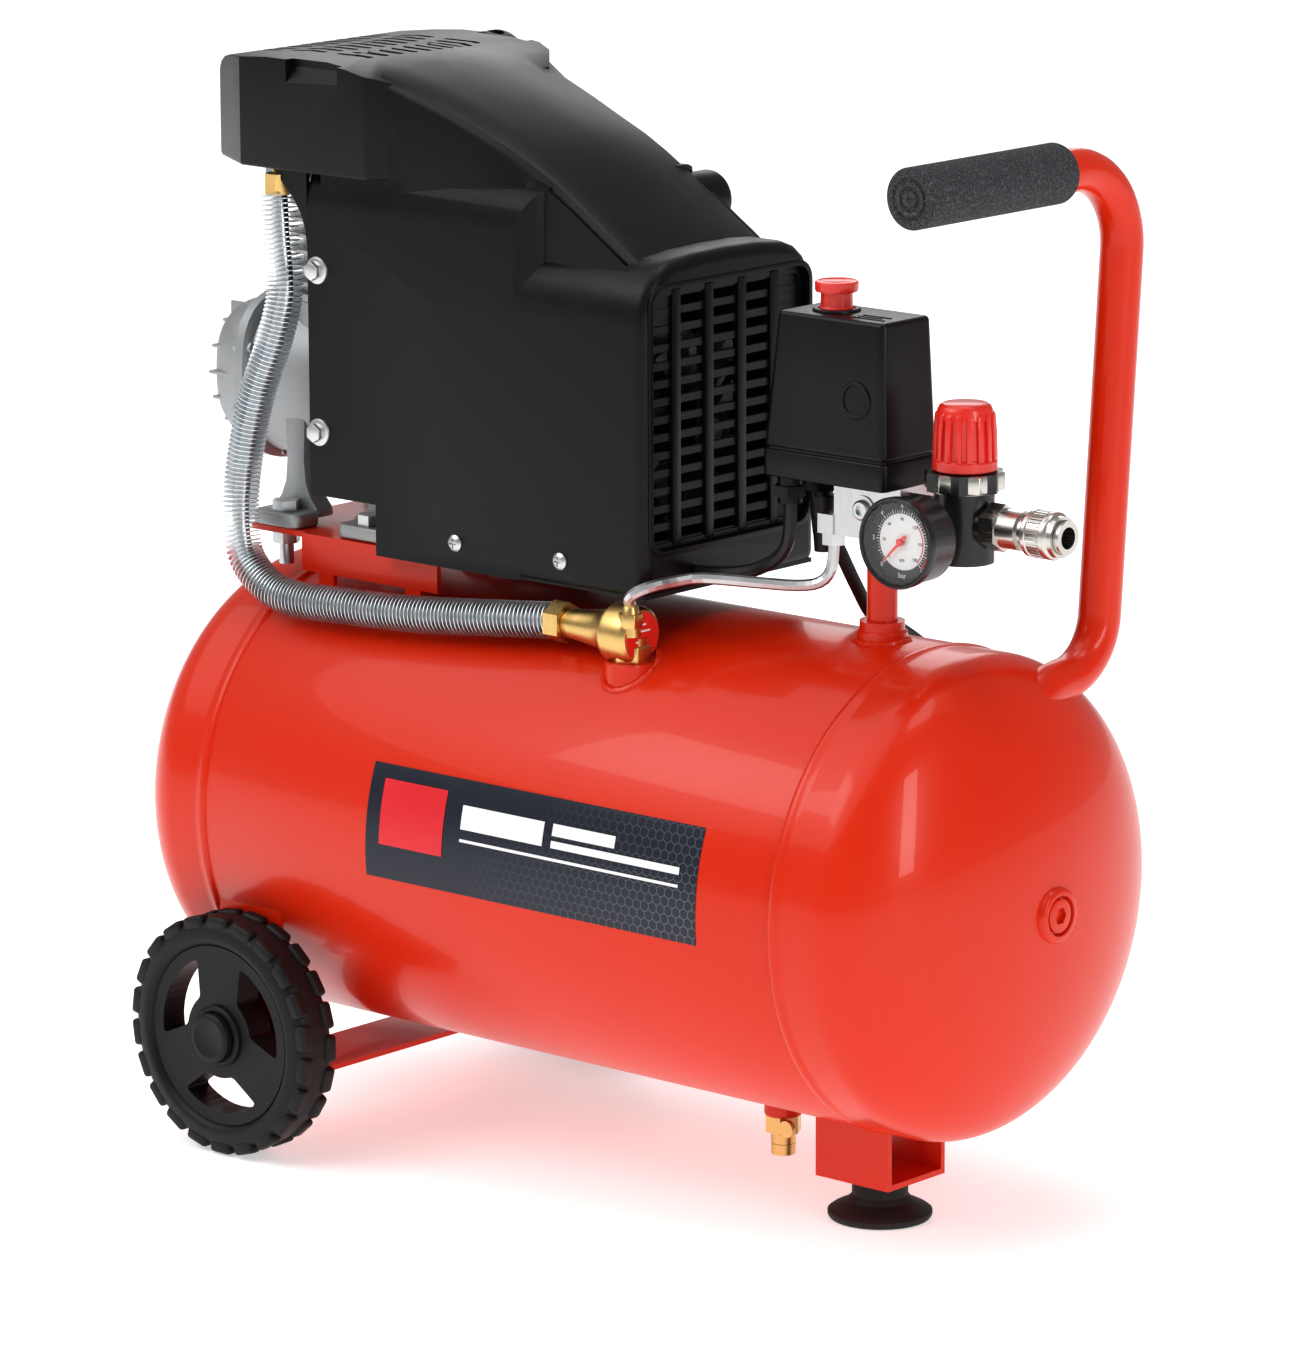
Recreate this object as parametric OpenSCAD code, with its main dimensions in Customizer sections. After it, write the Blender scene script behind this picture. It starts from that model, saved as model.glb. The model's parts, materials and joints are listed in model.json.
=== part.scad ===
// Portable piston air compressor on a horizontal tank, with two wheels, a rubber foot and a carrying handle.
// X runs along the tank, -Y is the front, +Z is up. The floor is z = 0.

/* [Tank] */
// Outside diameter of the tank
tank_d = 250; // [248:1:252]
// Overall length of the tank
tank_l = 556; // [552:1:560]
// Length of one dished head beyond its straight flange
head_depth = 58; // [54:1:60]
// Wall thickness of the tank
tank_wall = 2; // [1.5:0.5:3]
// Height of the tank's axis above the floor
axis_h = 178; // [177:1:179]

/* [Wheels] */
// Outside diameter of a wheel
wheel_d = 130; // [126:2:132]
// Width of a wheel
wheel_w = 27; // [24:1:27]
// Diameter of the axle bolts
axle_d = 10; // [8:1:12]

/* [Handle] */
// Outside diameter of the handle tube
handle_d = 22; // [20:1:23]
// Length of the foam grip
grip_l = 116; // [100:2:118]
// Outside diameter of the foam grip
grip_d = 31; // [28:1:33]

/* [Pump] */
// Height of the crankshaft's axis above the floor
crank_h = 396; // [395:1:397]
// Bore of the cylinder
bore_d = 42; // [40:1:44]
// Stroke of the piston
stroke = 30; // [26:2:30]
// Outside diameter of the motor's stator
stator_d = 120; // [110:2:122]

/* [Fittings] */
// Outside diameter of the pressure gauge
gauge_d = 46; // [40:1:47]
// Outside diameter of the regulator's knob
knob_d = 33; // [30:1:35]
// Downward travel of the switch button
button_travel = 6; // [3:1:7]
// Bore of the quick coupler's socket
socket_d = 11; // [8:1:12]

/* [Cord] */
// Diameter of the mains lead
cord_d = 7; // [6:0.5:7]

/* [Hidden] */
$fn = 48;

// Colours
paint_red = "#d9301c";
black = "#202124";
zinc = "#b9bcc0";
cast_grey = "#a7aaad";
brass = "#c79a45";
steel = "#8f9499";

// Tank
tank_r = tank_d / 2;
seam_x = tank_l / 2 - head_depth - 22;       // weld seam between shell and head
flange_x = tank_l / 2 - head_depth;          // where the dish begins
head_steps = 20;
boss_h = 4;

// The tank's middle sits off the origin, so that the origin is midway between the two ends of the whole machine
coupler_end = 289;
tank_x = -(coupler_end - tank_l / 2) / 2;

// Wheels and bracket
wheel_x = -171;
wheel_z = wheel_d / 2;
arm_y = 113;                                 // inner face of each bracket arm
sheet = 3;                                   // thickness of the bent sheet brackets
bracket_l = 44;
bracket_x = -194;
strap_z = 36;
wheel_in = arm_y + sheet + 1.2;              // inner face of a wheel
wheel_out = wheel_in + wheel_w;
cap_out = 150;
hub_r = 17;
rim_r = 49;
running = 0.05;                              // radial clearance of a running fit

// Rubber foot and drain
foot_x = 165;
drain_x = 100;
foot_plate_z = 22;

// Handle: one tube bent in a plane across the tank
handle_x = 240;
handle_low_z = 284;
handle_lean = 4.7;
bend1_r = 32;
bend2_r = 42;
upright_l = 184;
bend1_y = 50;
bend1_z = handle_low_z + bend1_r;
up_y = bend1_y + bend1_r * cos(handle_lean);
up_z = bend1_z - bend1_r * sin(handle_lean);
top_y = up_y + upright_l * sin(handle_lean);
top_z = up_z + upright_l * cos(handle_lean);
bend2_y = top_y - bend2_r * cos(handle_lean);
bend2_z = top_z + bend2_r * sin(handle_lean);
bar_z = bend2_z + bend2_r;                   // height of the bar that carries the grip
grip_y = 43;                                 // the grip's inner end
grip_end = grip_y - grip_l;

// Pump
plate_z = 322;                               // top of the platform
cyl_x = -200;
case_x0 = -246;
case_x1 = -128;
case_r = 42;
foot_xs = [-207, -144];
foot_y = 48;
barrel_z0 = 440;
barrel_z1 = 500;
valve_z = 505;
head_top = 536;
throw = stroke / 2;
wrist_z = crank_h - throw + 75;
stator_x0 = -112;
stator_x1 = 0;
fan_x = 34;
shaft_r = 7.5;

// Shroud
shroud_y = 68;
cover_y = 75;
shroud_wall = 2.5;
vent_x = 65;
slot_w = 19;
slot_h = 4.6;
slot_cols = 5;
slot_rows = 15;
filter_z = 533;
hex_screw_x = -162;
hex_screw_zs = [380, 466];
cross_screw_xs = [-65, 8];
cross_screw_z = 333;

// Discharge tube, check valve and fittings
valve_x = 54;
valve_y = -66;
valve_z_axis = 301;
fin_r = 10;
riser_x = 165;
reg_x = 224;
reg_y = -8;
gauge_x = 223;
gauge_z = 369;
gauge_face = -62;
outlet_z = 372;

// Route of the finned discharge tube, from the cylinder head down and along the tank to the check valve
fin_route = [
    [-193, -64, 503], [-190, -66, 480], [-187, -67, 452], [-193, -69, 426], [-202, -71, 402],
    [-210, -72, 375], [-215, -73, 347], [-214, -75, 322], [-205, -77, 304], [-180, -79, 292],
    [-135, -79, 292], [-84, -76, 294], [-34, -71, 298], [2, -66, 301]
];
// Route of the thin unloader tube, from the check valve to the pressure switch
unload_route = [
    [60, -73, 318], [62, -76, 322], [67, -76, 326], [73, -70, 329], [77, -58, 330], [85, -46, 331],
    [108, -29, 329], [124, -18, 328], [134, -12, 330], [139, -9, 337], [140, -8, 350]
];
// Route of the motor's cable, from the switch into the shroud
motor_route = [
    [121, -20, 371], [121, -20, 361], [119, -20, 349], [111, -20, 340], [98, -22, 333],
    [82, -26, 330], [66, -28, 329]
];
// Route of the mains lead: out of its gland, over the back of the tank, down to the floor and to its coil
cord_route = [
    [121, 4, 371], [122, 6, 358], [126, 13, 342], [129, 23, 322], [130, 36, 304], [130, 56, 295],
    [128, 84, 277], [123, 107, 252], [112, 124, 218], [97, 131, 178], [79, 132, 132], [61, 135, 86],
    [47, 142, 46], [38, 154, 18], [34, 168, 5], [32, 184, 4], [31, 204, 4], [30, 222, 4]
];
coil_x = -12;
coil_y = 230;
coil_r = 5.5 * cord_d;                       // at the middle of the turns

// Points along a smooth curve through a route, with a number of steps in each stretch
function spline_at(p0, p1, p2, p3, t) =
    0.5 * (2 * p1 + (p2 - p0) * t + (2 * p0 - 5 * p1 + 4 * p2 - p3) * t * t
        + (3 * p1 - p0 - 3 * p2 + p3) * t * t * t);
function route_points(p, steps) = [
    for (i = [0 : len(p) - 2], s = [0 : steps - 1])
        spline_at(p[max(i - 1, 0)], p[i], p[i + 1], p[min(i + 2, len(p) - 1)], s / steps),
    p[len(p) - 1]
];
function unit(v) = v / norm(v);
function heading(p, i) = unit(p[min(i + 1, len(p) - 1)] - p[max(i - 1, 0)]);
function carried(side, t) = unit(side - (side * t) * t);
// A side vector carried along the route, so that the tube doesn't twist
function sides(p, i, side) =
    i >= len(p) ? [] :
    let (s = carried(side, heading(p, i))) concat([s], sides(p, i + 1, s));
function ring_at(p, i, side, r, n) = [
    for (k = [0 : n - 1])
        p[i] + r * (cos(360 * k / n) * side + sin(360 * k / n) * cross(heading(p, i), side))
];

module swept_tube(route, steps, r, n, first_side) {
    p = route_points(route, steps);
    side = sides(p, 0, first_side);
    rings = len(p);
    points = [for (i = [0 : rings - 1]) each ring_at(p, i, side[i], r, n)];
    walls = [
        for (i = [0 : rings - 2], k = [0 : n - 1])
            [i * n + k, i * n + (k + 1) % n, (i + 1) * n + (k + 1) % n, (i + 1) * n + k]
    ];
    start = [for (k = [n - 1 : -1 : 0]) k];
    finish = [for (k = [0 : n - 1]) (rings - 1) * n + k];
    polyhedron(points = points, faces = concat(walls, [start, finish]), convexity = 6);
}

// Everything stands in the tank's own X, moved as one
module placed() {
    translate([tank_x, 0, 0]) children();
}
module xcyl(x0, x1, r, y = 0, z = 0) {
    translate([x0, y, z]) rotate([0, 90, 0]) cylinder(h = x1 - x0, r = r);
}
module xcone(x0, x1, r0, r1, y = 0, z = 0) {
    translate([x0, y, z]) rotate([0, 90, 0]) cylinder(h = x1 - x0, r1 = r0, r2 = r1);
}
module ycyl(y0, y1, r, x = 0, z = 0) {
    translate([x, y0, z]) rotate([-90, 0, 0]) cylinder(h = y1 - y0, r = r);
}
module zcyl(z0, z1, r, x = 0, y = 0) {
    translate([x, y, z0]) cylinder(h = z1 - z0, r = r);
}
module xhex(x0, x1, flats, y = 0, z = 0) {
    translate([x0, y, z]) rotate([0, 90, 0]) cylinder(h = x1 - x0, r = flats / sqrt(3), $fn = 6);
}
module yhex(y0, y1, flats, x = 0, z = 0) {
    translate([x, y0, z]) rotate([-90, 0, 0]) cylinder(h = y1 - y0, r = flats / sqrt(3), $fn = 6);
}
module zhex(z0, z1, flats, x = 0, y = 0) {
    translate([x, y, z0]) cylinder(h = z1 - z0, r = flats / sqrt(3), $fn = 6);
}
module box(x0, x1, y0, y1, z0, z1) {
    translate([x0, y0, z0]) cube([x1 - x0, y1 - y0, z1 - z0]);
}
// A rectangle with round corners, lying on z = 0
module round_rect(x0, x1, y0, y1, r) {
    translate([x0 + r, y0]) square([x1 - x0 - 2 * r, y1 - y0]);
    translate([x0, y0 + r]) square([x1 - x0, y1 - y0 - 2 * r]);
    for (x = [x0 + r, x1 - r], y = [y0 + r, y1 - r]) translate([x, y]) circle(r);
}

// Half of the outline of a dished head: radius across, length along the tank
function dish(r, depth) = [
    for (i = [0 : head_steps]) [r * cos(90 * i / head_steps), depth * sin(90 * i / head_steps)]
];
module dished(r, depth, straight) {
    rotate([0, 90, 0]) rotate_extrude() polygon(concat(
        [[0, -straight], [r, -straight]],
        dish(r, depth)
    ));
}
// The solid space that one end of the tank fills
module head_space(r, depth) {
    translate([flange_x, 0, axis_h]) dished(r, depth, 22);
}
module tank_head(port) {
    difference() {
        union() {
            head_space(tank_r, head_depth);
            if (port) {
                xcyl(flange_x + 40, tank_l / 2 + boss_h, 19.5, 0, axis_h);
            }
        }
        head_space(tank_r - tank_wall, head_depth - tank_wall);
        if (port) {
            xcyl(flange_x + 20, tank_l / 2 + boss_h + 1, 8, 0, axis_h);
        }
    }
}

module tank_shell() {
    color(paint_red) placed() difference() {
        union() {
            xcyl(-seam_x, seam_x, tank_r, 0, axis_h);
            zcyl(axis_h + 96, axis_h + 109, 13.5, valve_x, valve_y);
            zcyl(axis_h + 110, axis_h + tank_r + 5, 13, riser_x, 0);
            zcyl(axis_h - tank_r - 11, axis_h - 110, 10, drain_x, 0);
        }
        xcyl(-seam_x - 1, seam_x + 1, tank_r - tank_wall, 0, axis_h);
        zcyl(axis_h + 90, axis_h + 110, 6, valve_x, valve_y);
        zcyl(axis_h + 100, axis_h + tank_r + 6, 5.5, riser_x, 0);
        zcyl(axis_h - tank_r - 12, axis_h - 100, 5, drain_x, 0);
    }
}
module tank_head_left() {
    color(paint_red) placed() mirror([1, 0, 0]) tank_head(false);
}
module tank_head_right() {
    color(paint_red) placed() tank_head(true);
}
module inspection_plug() {
    color(steel) placed() difference() {
        xcyl(tank_l / 2 - 8, tank_l / 2 + boss_h - 1, 8, 0, axis_h);
        xhex(tank_l / 2 - 3, tank_l / 2 + boss_h, 7, 0, axis_h);
    }
}

module wheel_bracket() {
    out = arm_y + sheet;
    color(paint_red) placed() difference() {
        box(bracket_x, bracket_x + bracket_l, -out, out, strap_z, 132);
        box(bracket_x - 1, bracket_x + bracket_l + 1, -arm_y, arm_y, strap_z + sheet, 133);
        xcyl(bracket_x - 1, bracket_x + bracket_l + 1, tank_r, 0, axis_h);
        ycyl(-out - 1, out + 1, axle_d / 2, wheel_x, wheel_z);
    }
}
// A front-facing sector of a ring, as an opening between two spokes
module wheel_window(r0, r1, a) {
    steps = 10;
    polygon(concat(
        [for (i = [0 : steps]) r1 * [cos(-a / 2 + a * i / steps), sin(-a / 2 + a * i / steps)]],
        [for (i = [0 : steps]) r0 * [cos(a / 2 - a * i / steps), sin(a / 2 - a * i / steps)]]
    ));
}
// A wheel whose outer face points to -Y
module wheel() {
    color(black) placed() translate([wheel_x, 0, wheel_z]) difference() {
        union() {
            ycyl(-wheel_out, -wheel_in, wheel_d / 2);
            ycyl(-wheel_out - 1, -wheel_in, hub_r);
        }
        difference() {
            ycyl(-wheel_out - 2, -wheel_out + 7, rim_r);
            ycyl(-wheel_out - 3, -wheel_out + 8, hub_r);
        }
        difference() {
            ycyl(-wheel_in - 7, -wheel_in + 1, rim_r);
            ycyl(-wheel_in - 8, -wheel_in + 2, hub_r);
        }
        for (k = [0 : 2]) {
            rotate([90, 120 * k + 30, 0]) translate([0, 0, wheel_in - 1])
                linear_extrude(wheel_w + 3) wheel_window(hub_r + 5, rim_r - 3, 84);
        }
        ycyl(-wheel_out - 2, -wheel_in + 1, axle_d / 2 + running);
        ycyl(-wheel_out - 2, -wheel_out + 8, 11);
    }
}
module wheel_front() {
    wheel();
}
module wheel_rear() {
    mirror([0, 1, 0]) wheel();
}
module hub_cap() {
    color(black) placed() translate([wheel_x, 0, wheel_z]) {
        ycyl(-cap_out, -wheel_out - 1, 15.5);
        ycyl(-wheel_out - 1, -wheel_out + 1, 10.9);
    }
}
module hub_cap_front() {
    hub_cap();
}
module hub_cap_rear() {
    mirror([0, 1, 0]) hub_cap();
}
module axle_bolts() {
    color(zinc) placed() for (side = [0, 1]) {
        mirror([0, side, 0]) {
            ycyl(-wheel_out + 2, -arm_y + 12, axle_d / 2, wheel_x, wheel_z);
            yhex(-wheel_out + 2, -wheel_out + 7.6, 17, wheel_x, wheel_z);
            difference() {
                yhex(-arm_y, -arm_y + 8, 17, wheel_x, wheel_z);
                ycyl(-arm_y - 1, -arm_y + 9, axle_d / 2 + running, wheel_x, wheel_z);
            }
        }
    }
}

module foot_bracket() {
    x0 = foot_x - 24;
    x1 = foot_x + 24;
    color(paint_red) placed() difference() {
        box(x0, x1, -23, 23, foot_plate_z, axis_h - 110);
        box(x0 - 1, x1 + 1, -23 + sheet, 23 - sheet, foot_plate_z + sheet, axis_h);
        xcyl(x0 - 1, x1 + 1, tank_r, 0, axis_h);
        zcyl(foot_plate_z - 1, foot_plate_z + 4, 4, foot_x, 0);
    }
}
module rubber_foot() {
    color(black) placed() translate([foot_x, 0, 0]) difference() {
        rotate_extrude() polygon([
            [4, 0], [26, 0], [27, 1.5], [27, 3.5], [25, 5], [17, 9], [14.5, 12], [14.5, foot_plate_z], [4, foot_plate_z]
        ]);
        zcyl(-1, 7, 9);
    }
}
module foot_bolt() {
    color(zinc) placed() {
        zcyl(2, foot_plate_z + 14, 4, foot_x, 0);
        zhex(1.6, 6.8, 13, foot_x, 0);
        difference() {
            zhex(foot_plate_z + sheet, foot_plate_z + sheet + 6.5, 13, foot_x, 0);
            zcyl(foot_plate_z, foot_plate_z + 15, 4 + running, foot_x, 0);
        }
    }
}
module drain_body() {
    top = axis_h - tank_r - 11;
    color(brass) placed() difference() {
        union() {
            zhex(top - 9, top, 17, drain_x, 0);
            zcyl(top - 15, top - 9, 6.5, drain_x, 0);
            zcyl(top, top + 12, 5, drain_x, 0);
            ycyl(-9, -6, 4.5, drain_x + 9, top - 5);
        }
        zcyl(top - 16, top - 5, 3.5 + running, drain_x, 0);
        zcyl(top - 6, top + 13, 2, drain_x, 0);
    }
}
module drain_screw() {
    top = axis_h - tank_r - 11;
    color(brass) placed() {
        zcyl(top - 21, top - 15.3, 6.4, drain_x, 0);
        zcyl(top - 15.4, top - 6, 3.5, drain_x, 0);
    }
}

module tube_section() {
    difference() {
        circle(handle_d / 2);
        circle(handle_d / 2 - 1.6);
    }
}
// A bend in the handle's plane; angles run from +Y towards +Z
module handle_bend(y, z, r, a0, a1) {
    translate([handle_x, y, z]) rotate([90, 0, 90]) rotate([0, 0, a0])
        rotate_extrude(angle = a1 - a0) translate([r, 0]) tube_section();
}
module handle_tube() {
    color(paint_red) placed() {
        difference() {
            translate([handle_x, 0, handle_low_z]) rotate([-90, 0, 0]) linear_extrude(bend1_y) tube_section();
            head_space(tank_r, head_depth);
        }
        handle_bend(bend1_y, bend1_z, bend1_r, -90, -handle_lean);
        translate([handle_x, up_y, up_z]) rotate([-handle_lean, 0, 0]) linear_extrude(upright_l) tube_section();
        handle_bend(bend2_y, bend2_z, bend2_r, -handle_lean, 90);
        translate([handle_x, bend2_y, bar_z]) rotate([90, 0, 0]) linear_extrude(bend2_y - grip_end - 6) tube_section();
    }
}
module handle_grip() {
    color(black) placed() difference() {
        ycyl(grip_end, grip_y, grip_d / 2, handle_x, bar_z);
        ycyl(grip_end + 6, grip_y + 1, handle_d / 2, handle_x, bar_z);
    }
}

module pump_platform() {
    x0 = -224;
    x1 = -86;
    y = 60;
    wall_low = 302;
    tank_top = axis_h + sqrt(tank_r * tank_r - (y - sheet) * (y - sheet));
    wall = [
        [x0 + 40, plate_z], [x0 + 40, wall_low], [x0 + 52, wall_low], [x0 + 52, tank_top],
        [x0 + 63, tank_top], [x0 + 63, wall_low], [x1 - 23, wall_low], [x1 - 23, tank_top],
        [x1 - 12, tank_top], [x1 - 12, wall_low], [x1, wall_low], [x1, plate_z]
    ];
    color(paint_red) placed() {
        difference() {
            box(x0, x1, -y + sheet, y - sheet, plate_z - sheet, plate_z);
            for (x = foot_xs, s = [-1, 1]) zcyl(plate_z - 5, plate_z + 1, 4, x, s * foot_y);
            zcyl(plate_z - 5, plate_z + 1, 20, -175, 0);
        }
        for (s = [0, 1]) {
            mirror([0, s, 0]) translate([0, -y + sheet, 0]) rotate([90, 0, 0]) linear_extrude(sheet) polygon(wall);
        }
    }
}
module pump_bolts() {
    color(zinc) placed() for (x = foot_xs, s = [-1, 1]) {
        translate([x, s * foot_y, 0]) {
            zcyl(plate_z - 21, plate_z + 8, 4);
            zhex(plate_z + 8, plate_z + 13.5, 13);
            difference() {
                zhex(plate_z - 9.5, plate_z - sheet, 13);
                zcyl(plate_z - 10, plate_z, 4 + running);
            }
        }
    }
}

module crankcase() {
    color(cast_grey) placed() difference() {
        union() {
            xcyl(case_x0, case_x1, case_r, 0, crank_h);
            xcyl(case_x0, case_x0 + 8, case_r + 6, 0, crank_h);
            zcyl(crank_h, barrel_z0, 32, cyl_x, 0);
            for (x = foot_xs, s = [-1, 1]) {
                box(x - 17, x + 17, s * foot_y - 10, s * foot_y + 10, plate_z, plate_z + 8);
                box(x - 4, x + 4, s * 35 - 6, s * 35 + 6, plate_z, crank_h - 16);
                box(x - 15, x + 15, s * 34 - 3, s * 34 + 3, plate_z, crank_h - 18);
            }
        }
        xcyl(case_x0 - 1, -172, 34, 0, crank_h);
        xcyl(-173, -151, 17.5, 0, crank_h);
        xcyl(-152, case_x1 + 1, 12, 0, crank_h);
        zcyl(crank_h, barrel_z0 + 1, bore_d / 2 + 3, cyl_x, 0);
        for (x = foot_xs, s = [-1, 1]) zcyl(plate_z - 1, plate_z + 9, 4, x, s * foot_y);
        zcyl(crank_h - 60, crank_h - 20, 7, cyl_x - 22, 0);
    }
}
module end_cover() {
    color(cast_grey) placed() difference() {
        union() {
            xcyl(case_x0 - 8, case_x0, case_r + 6, 0, crank_h);
            xcyl(-272, case_x0 - 8, 34, 0, crank_h);
            for (a = [-60 : 30 : 60]) {
                translate([-273, 0, crank_h]) rotate([a, 0, 0]) box(0, 20, -35, 35, -0.8, 0.8);
            }
        }
        xcyl(-268, case_x0 + 1, 29, 0, crank_h);
    }
}
module oil_sight_glass() {
    color(brass) placed() {
        zcyl(crank_h - 52, crank_h - 36, 7, cyl_x - 22, 0);
        zcyl(crank_h - 56, crank_h - 52, 10, cyl_x - 22, 0);
    }
}
module cylinder_barrel() {
    color(cast_grey) placed() difference() {
        union() {
            zcyl(barrel_z0, barrel_z1, bore_d / 2 + 6, cyl_x, 0);
            zcyl(barrel_z0, barrel_z0 + 4, 32, cyl_x, 0);
            for (i = [0 : 5]) zcyl(barrel_z0 + 9 + 8.5 * i, barrel_z0 + 11 + 8.5 * i, 34, cyl_x, 0);
            zcyl(barrel_z1 - 4, barrel_z1, 32, cyl_x, 0);
        }
        zcyl(barrel_z0 - 1, barrel_z1 + 1, bore_d / 2, cyl_x, 0);
    }
}
module valve_plate() {
    color(steel) placed() difference() {
        box(cyl_x - 33, cyl_x + 33, -33, 33, barrel_z1, valve_z);
        for (s = [-1, 1]) zcyl(barrel_z1 - 1, valve_z + 1, 4, cyl_x, s * 11);
    }
}
module cylinder_head() {
    color(cast_grey) placed() difference() {
        union() {
            box(cyl_x - 33, cyl_x + 33, -33, 33, valve_z, valve_z + 18);
            for (i = [0 : 6]) box(cyl_x - 32 + 10.2 * i, cyl_x - 29 + 10.2 * i, -33, 33, valve_z + 18, head_top);
        }
        box(cyl_x - 26, cyl_x + 26, -26, -2, valve_z - 1, valve_z + 13);
        box(cyl_x - 26, cyl_x + 26, 2, 26, valve_z - 1, valve_z + 13);
        ycyl(-34, -20, 5, cyl_x + 7, valve_z + 8);
        ycyl(20, 34, 5, cyl_x + 22, valve_z + 8);
    }
}
module piston() {
    color(steel) placed() difference() {
        zcyl(wrist_z - 9, wrist_z + 13, bore_d / 2 - 0.08, cyl_x, 0);
        zcyl(wrist_z - 10, wrist_z + 8, bore_d / 2 - 4, cyl_x, 0);
        xcyl(cyl_x - bore_d, cyl_x + bore_d, 5, 0, wrist_z);
    }
}
module connecting_rod() {
    color(steel) placed() {
        xcyl(cyl_x - bore_d / 2 + 2, cyl_x + bore_d / 2 - 2, 4.9, 0, wrist_z);
        xcyl(cyl_x - 7, cyl_x + 7, 7.6, 0, wrist_z);
        box(cyl_x - 4, cyl_x + 4, -5, 5, crank_h + throw + 7, wrist_z);
    }
}
module crankshaft() {
    color(steel) placed() {
        xcyl(-186, fan_x + 18, shaft_r, 0, crank_h);
        xcyl(-187, -178, 24, 0, crank_h);
        xcyl(-214, -186, 5, 0, crank_h - throw);
    }
}
module bearings() {
    color(steel) placed() for (x = [-166, 22]) {
        difference() {
            xcyl(x, x + 11, 17.5, 0, crank_h);
            xcyl(x - 1, x + 12, shaft_r + running, 0, crank_h);
        }
    }
}
module stator() {
    color(steel) placed() difference() {
        union() {
            xcyl(stator_x0, stator_x1, stator_d / 2, 0, crank_h);
            xcyl(stator_x0 - 14, stator_x1 + 14, stator_d / 2 - 8, 0, crank_h);
        }
        xcyl(stator_x0 - 15, stator_x1 + 15, 34, 0, crank_h);
    }
}
module rotor() {
    color(steel) placed() difference() {
        xcyl(stator_x0, stator_x1, 33.5, 0, crank_h);
        xcyl(stator_x0 - 1, stator_x1 + 1, shaft_r, 0, crank_h);
    }
}
module end_bell() {
    color(cast_grey) placed() difference() {
        union() {
            xcyl(15, 33, 44, 0, crank_h);
            for (a = [45 : 90 : 315]) {
                translate([0, 0, crank_h]) rotate([a, 0, 0]) xcyl(stator_x1, 33, 6, 0, 50);
            }
        }
        xcyl(14, 28, 38, 0, crank_h);
        xcyl(13, 34, 17.5, 0, crank_h);
        xcyl(stator_x1 - 1, 14.2, stator_d / 2 - 7.5, 0, crank_h);
    }
}
module fan() {
    color(black) placed() translate([0, 0, crank_h]) difference() {
        union() {
            xcyl(fan_x, fan_x + 18, 14);
            for (a = [0 : 45 : 315]) {
                rotate([a, 0, 0]) translate([fan_x + 9, 0, 33]) rotate([0, 0, 38]) cube([1.6, 19, 40], center = true);
            }
        }
        xcyl(fan_x - 1, fan_x + 19, shaft_r);
    }
}
module capacitor() {
    color(black) placed() {
        xcyl(-95, -28, 16, 0, 482);
        box(-90, -34, -8, 8, crank_h + stator_d / 2 + 0.2, 468);
    }
}
module air_filter() {
    color(black) placed() {
        ycyl(cover_y, cover_y + 19, 21, cyl_x + 22, filter_z);
        ycyl(cover_y + 19, cover_y + 24, 17, cyl_x + 22, filter_z);
        ycyl(33, cover_y, 5, cyl_x + 22, valve_z + 8);
    }
}

// Side outline of the shroud, grown inwards by a wall's thickness; it stays open below and towards the pump
function side_outline(w) = [
    [-169 - w, 346 - w], [-122 - w, 346 - w], [-122 - w, 319 - w], [52, 319 - w],
    [vent_x - w, 328], [vent_x - w, 478], [vent_x - 4 - w, 488 - w], [44, 500 - w], [20, 515 - w],
    [-10, 533 - w], [-50, 550 - w], [-93, 566 - w], [-136, 577 - w], [-190, 580 - w], [-228, 576 - w],
    [-240 + w, 566 - w], [-245 + w, 550 - w], [-245 + w, 520 - w], [-169 - w, 520 - w]
];
// Front outline: straight sides with a crowned top that narrows
function front_outline(half, w) = [
    [-half + w, 310], [half - w, 310], [half - w, 520], [half - 6 - w, 545], [half - 18 - w, 566],
    [half - 36, 580 - w], [15, 586 - w], [-15, 586 - w],
    [-half + 36, 580 - w], [-half + 18 + w, 566], [-half + 6 + w, 545], [-half + w, 520]
];
module side_slab(w, y) {
    translate([0, y, 0]) rotate([90, 0, 0]) linear_extrude(2 * y) polygon(side_outline(w));
}
module front_slab(x0, x1, half, w) {
    translate([x0, 0, 0]) rotate([90, 0, 90]) linear_extrude(x1 - x0) polygon(front_outline(half, w));
}
module shroud() {
    slot_pitch = 9.2;
    col_pitch = 25.5;
    color(black) placed() difference() {
        union() {
            intersection() {
                side_slab(0, shroud_y);
                front_slab(-250, vent_x + 1, shroud_y, 0);
            }
            intersection() {
                box(-245, -116, -cover_y, cover_y, 520, 590);
                side_slab(0, cover_y);
                front_slab(-250, -110, cover_y, 0);
            }
        }
        intersection() {
            side_slab(shroud_wall, shroud_y - shroud_wall);
            front_slab(-250, vent_x, shroud_y, shroud_wall);
        }
        for (c = [0 : slot_cols - 1], r = [0 : slot_rows - 1]) {
            y = (c - (slot_cols - 1) / 2) * col_pitch;
            z = 400 + (r - (slot_rows - 1) / 2) * slot_pitch;
            box(vent_x - 5, vent_x + 1, y - slot_w / 2, y + slot_w / 2, z - slot_h / 2, z + slot_h / 2);
        }
        for (s = [-1, 1]) {
            for (z = hex_screw_zs) ycyl(s * shroud_y - 4, s * shroud_y + 4, 3.1, hex_screw_x, z);
            for (x = cross_screw_xs) ycyl(s * shroud_y - 4, s * shroud_y + 4, 2.2, x, cross_screw_z);
        }
    }
}
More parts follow.
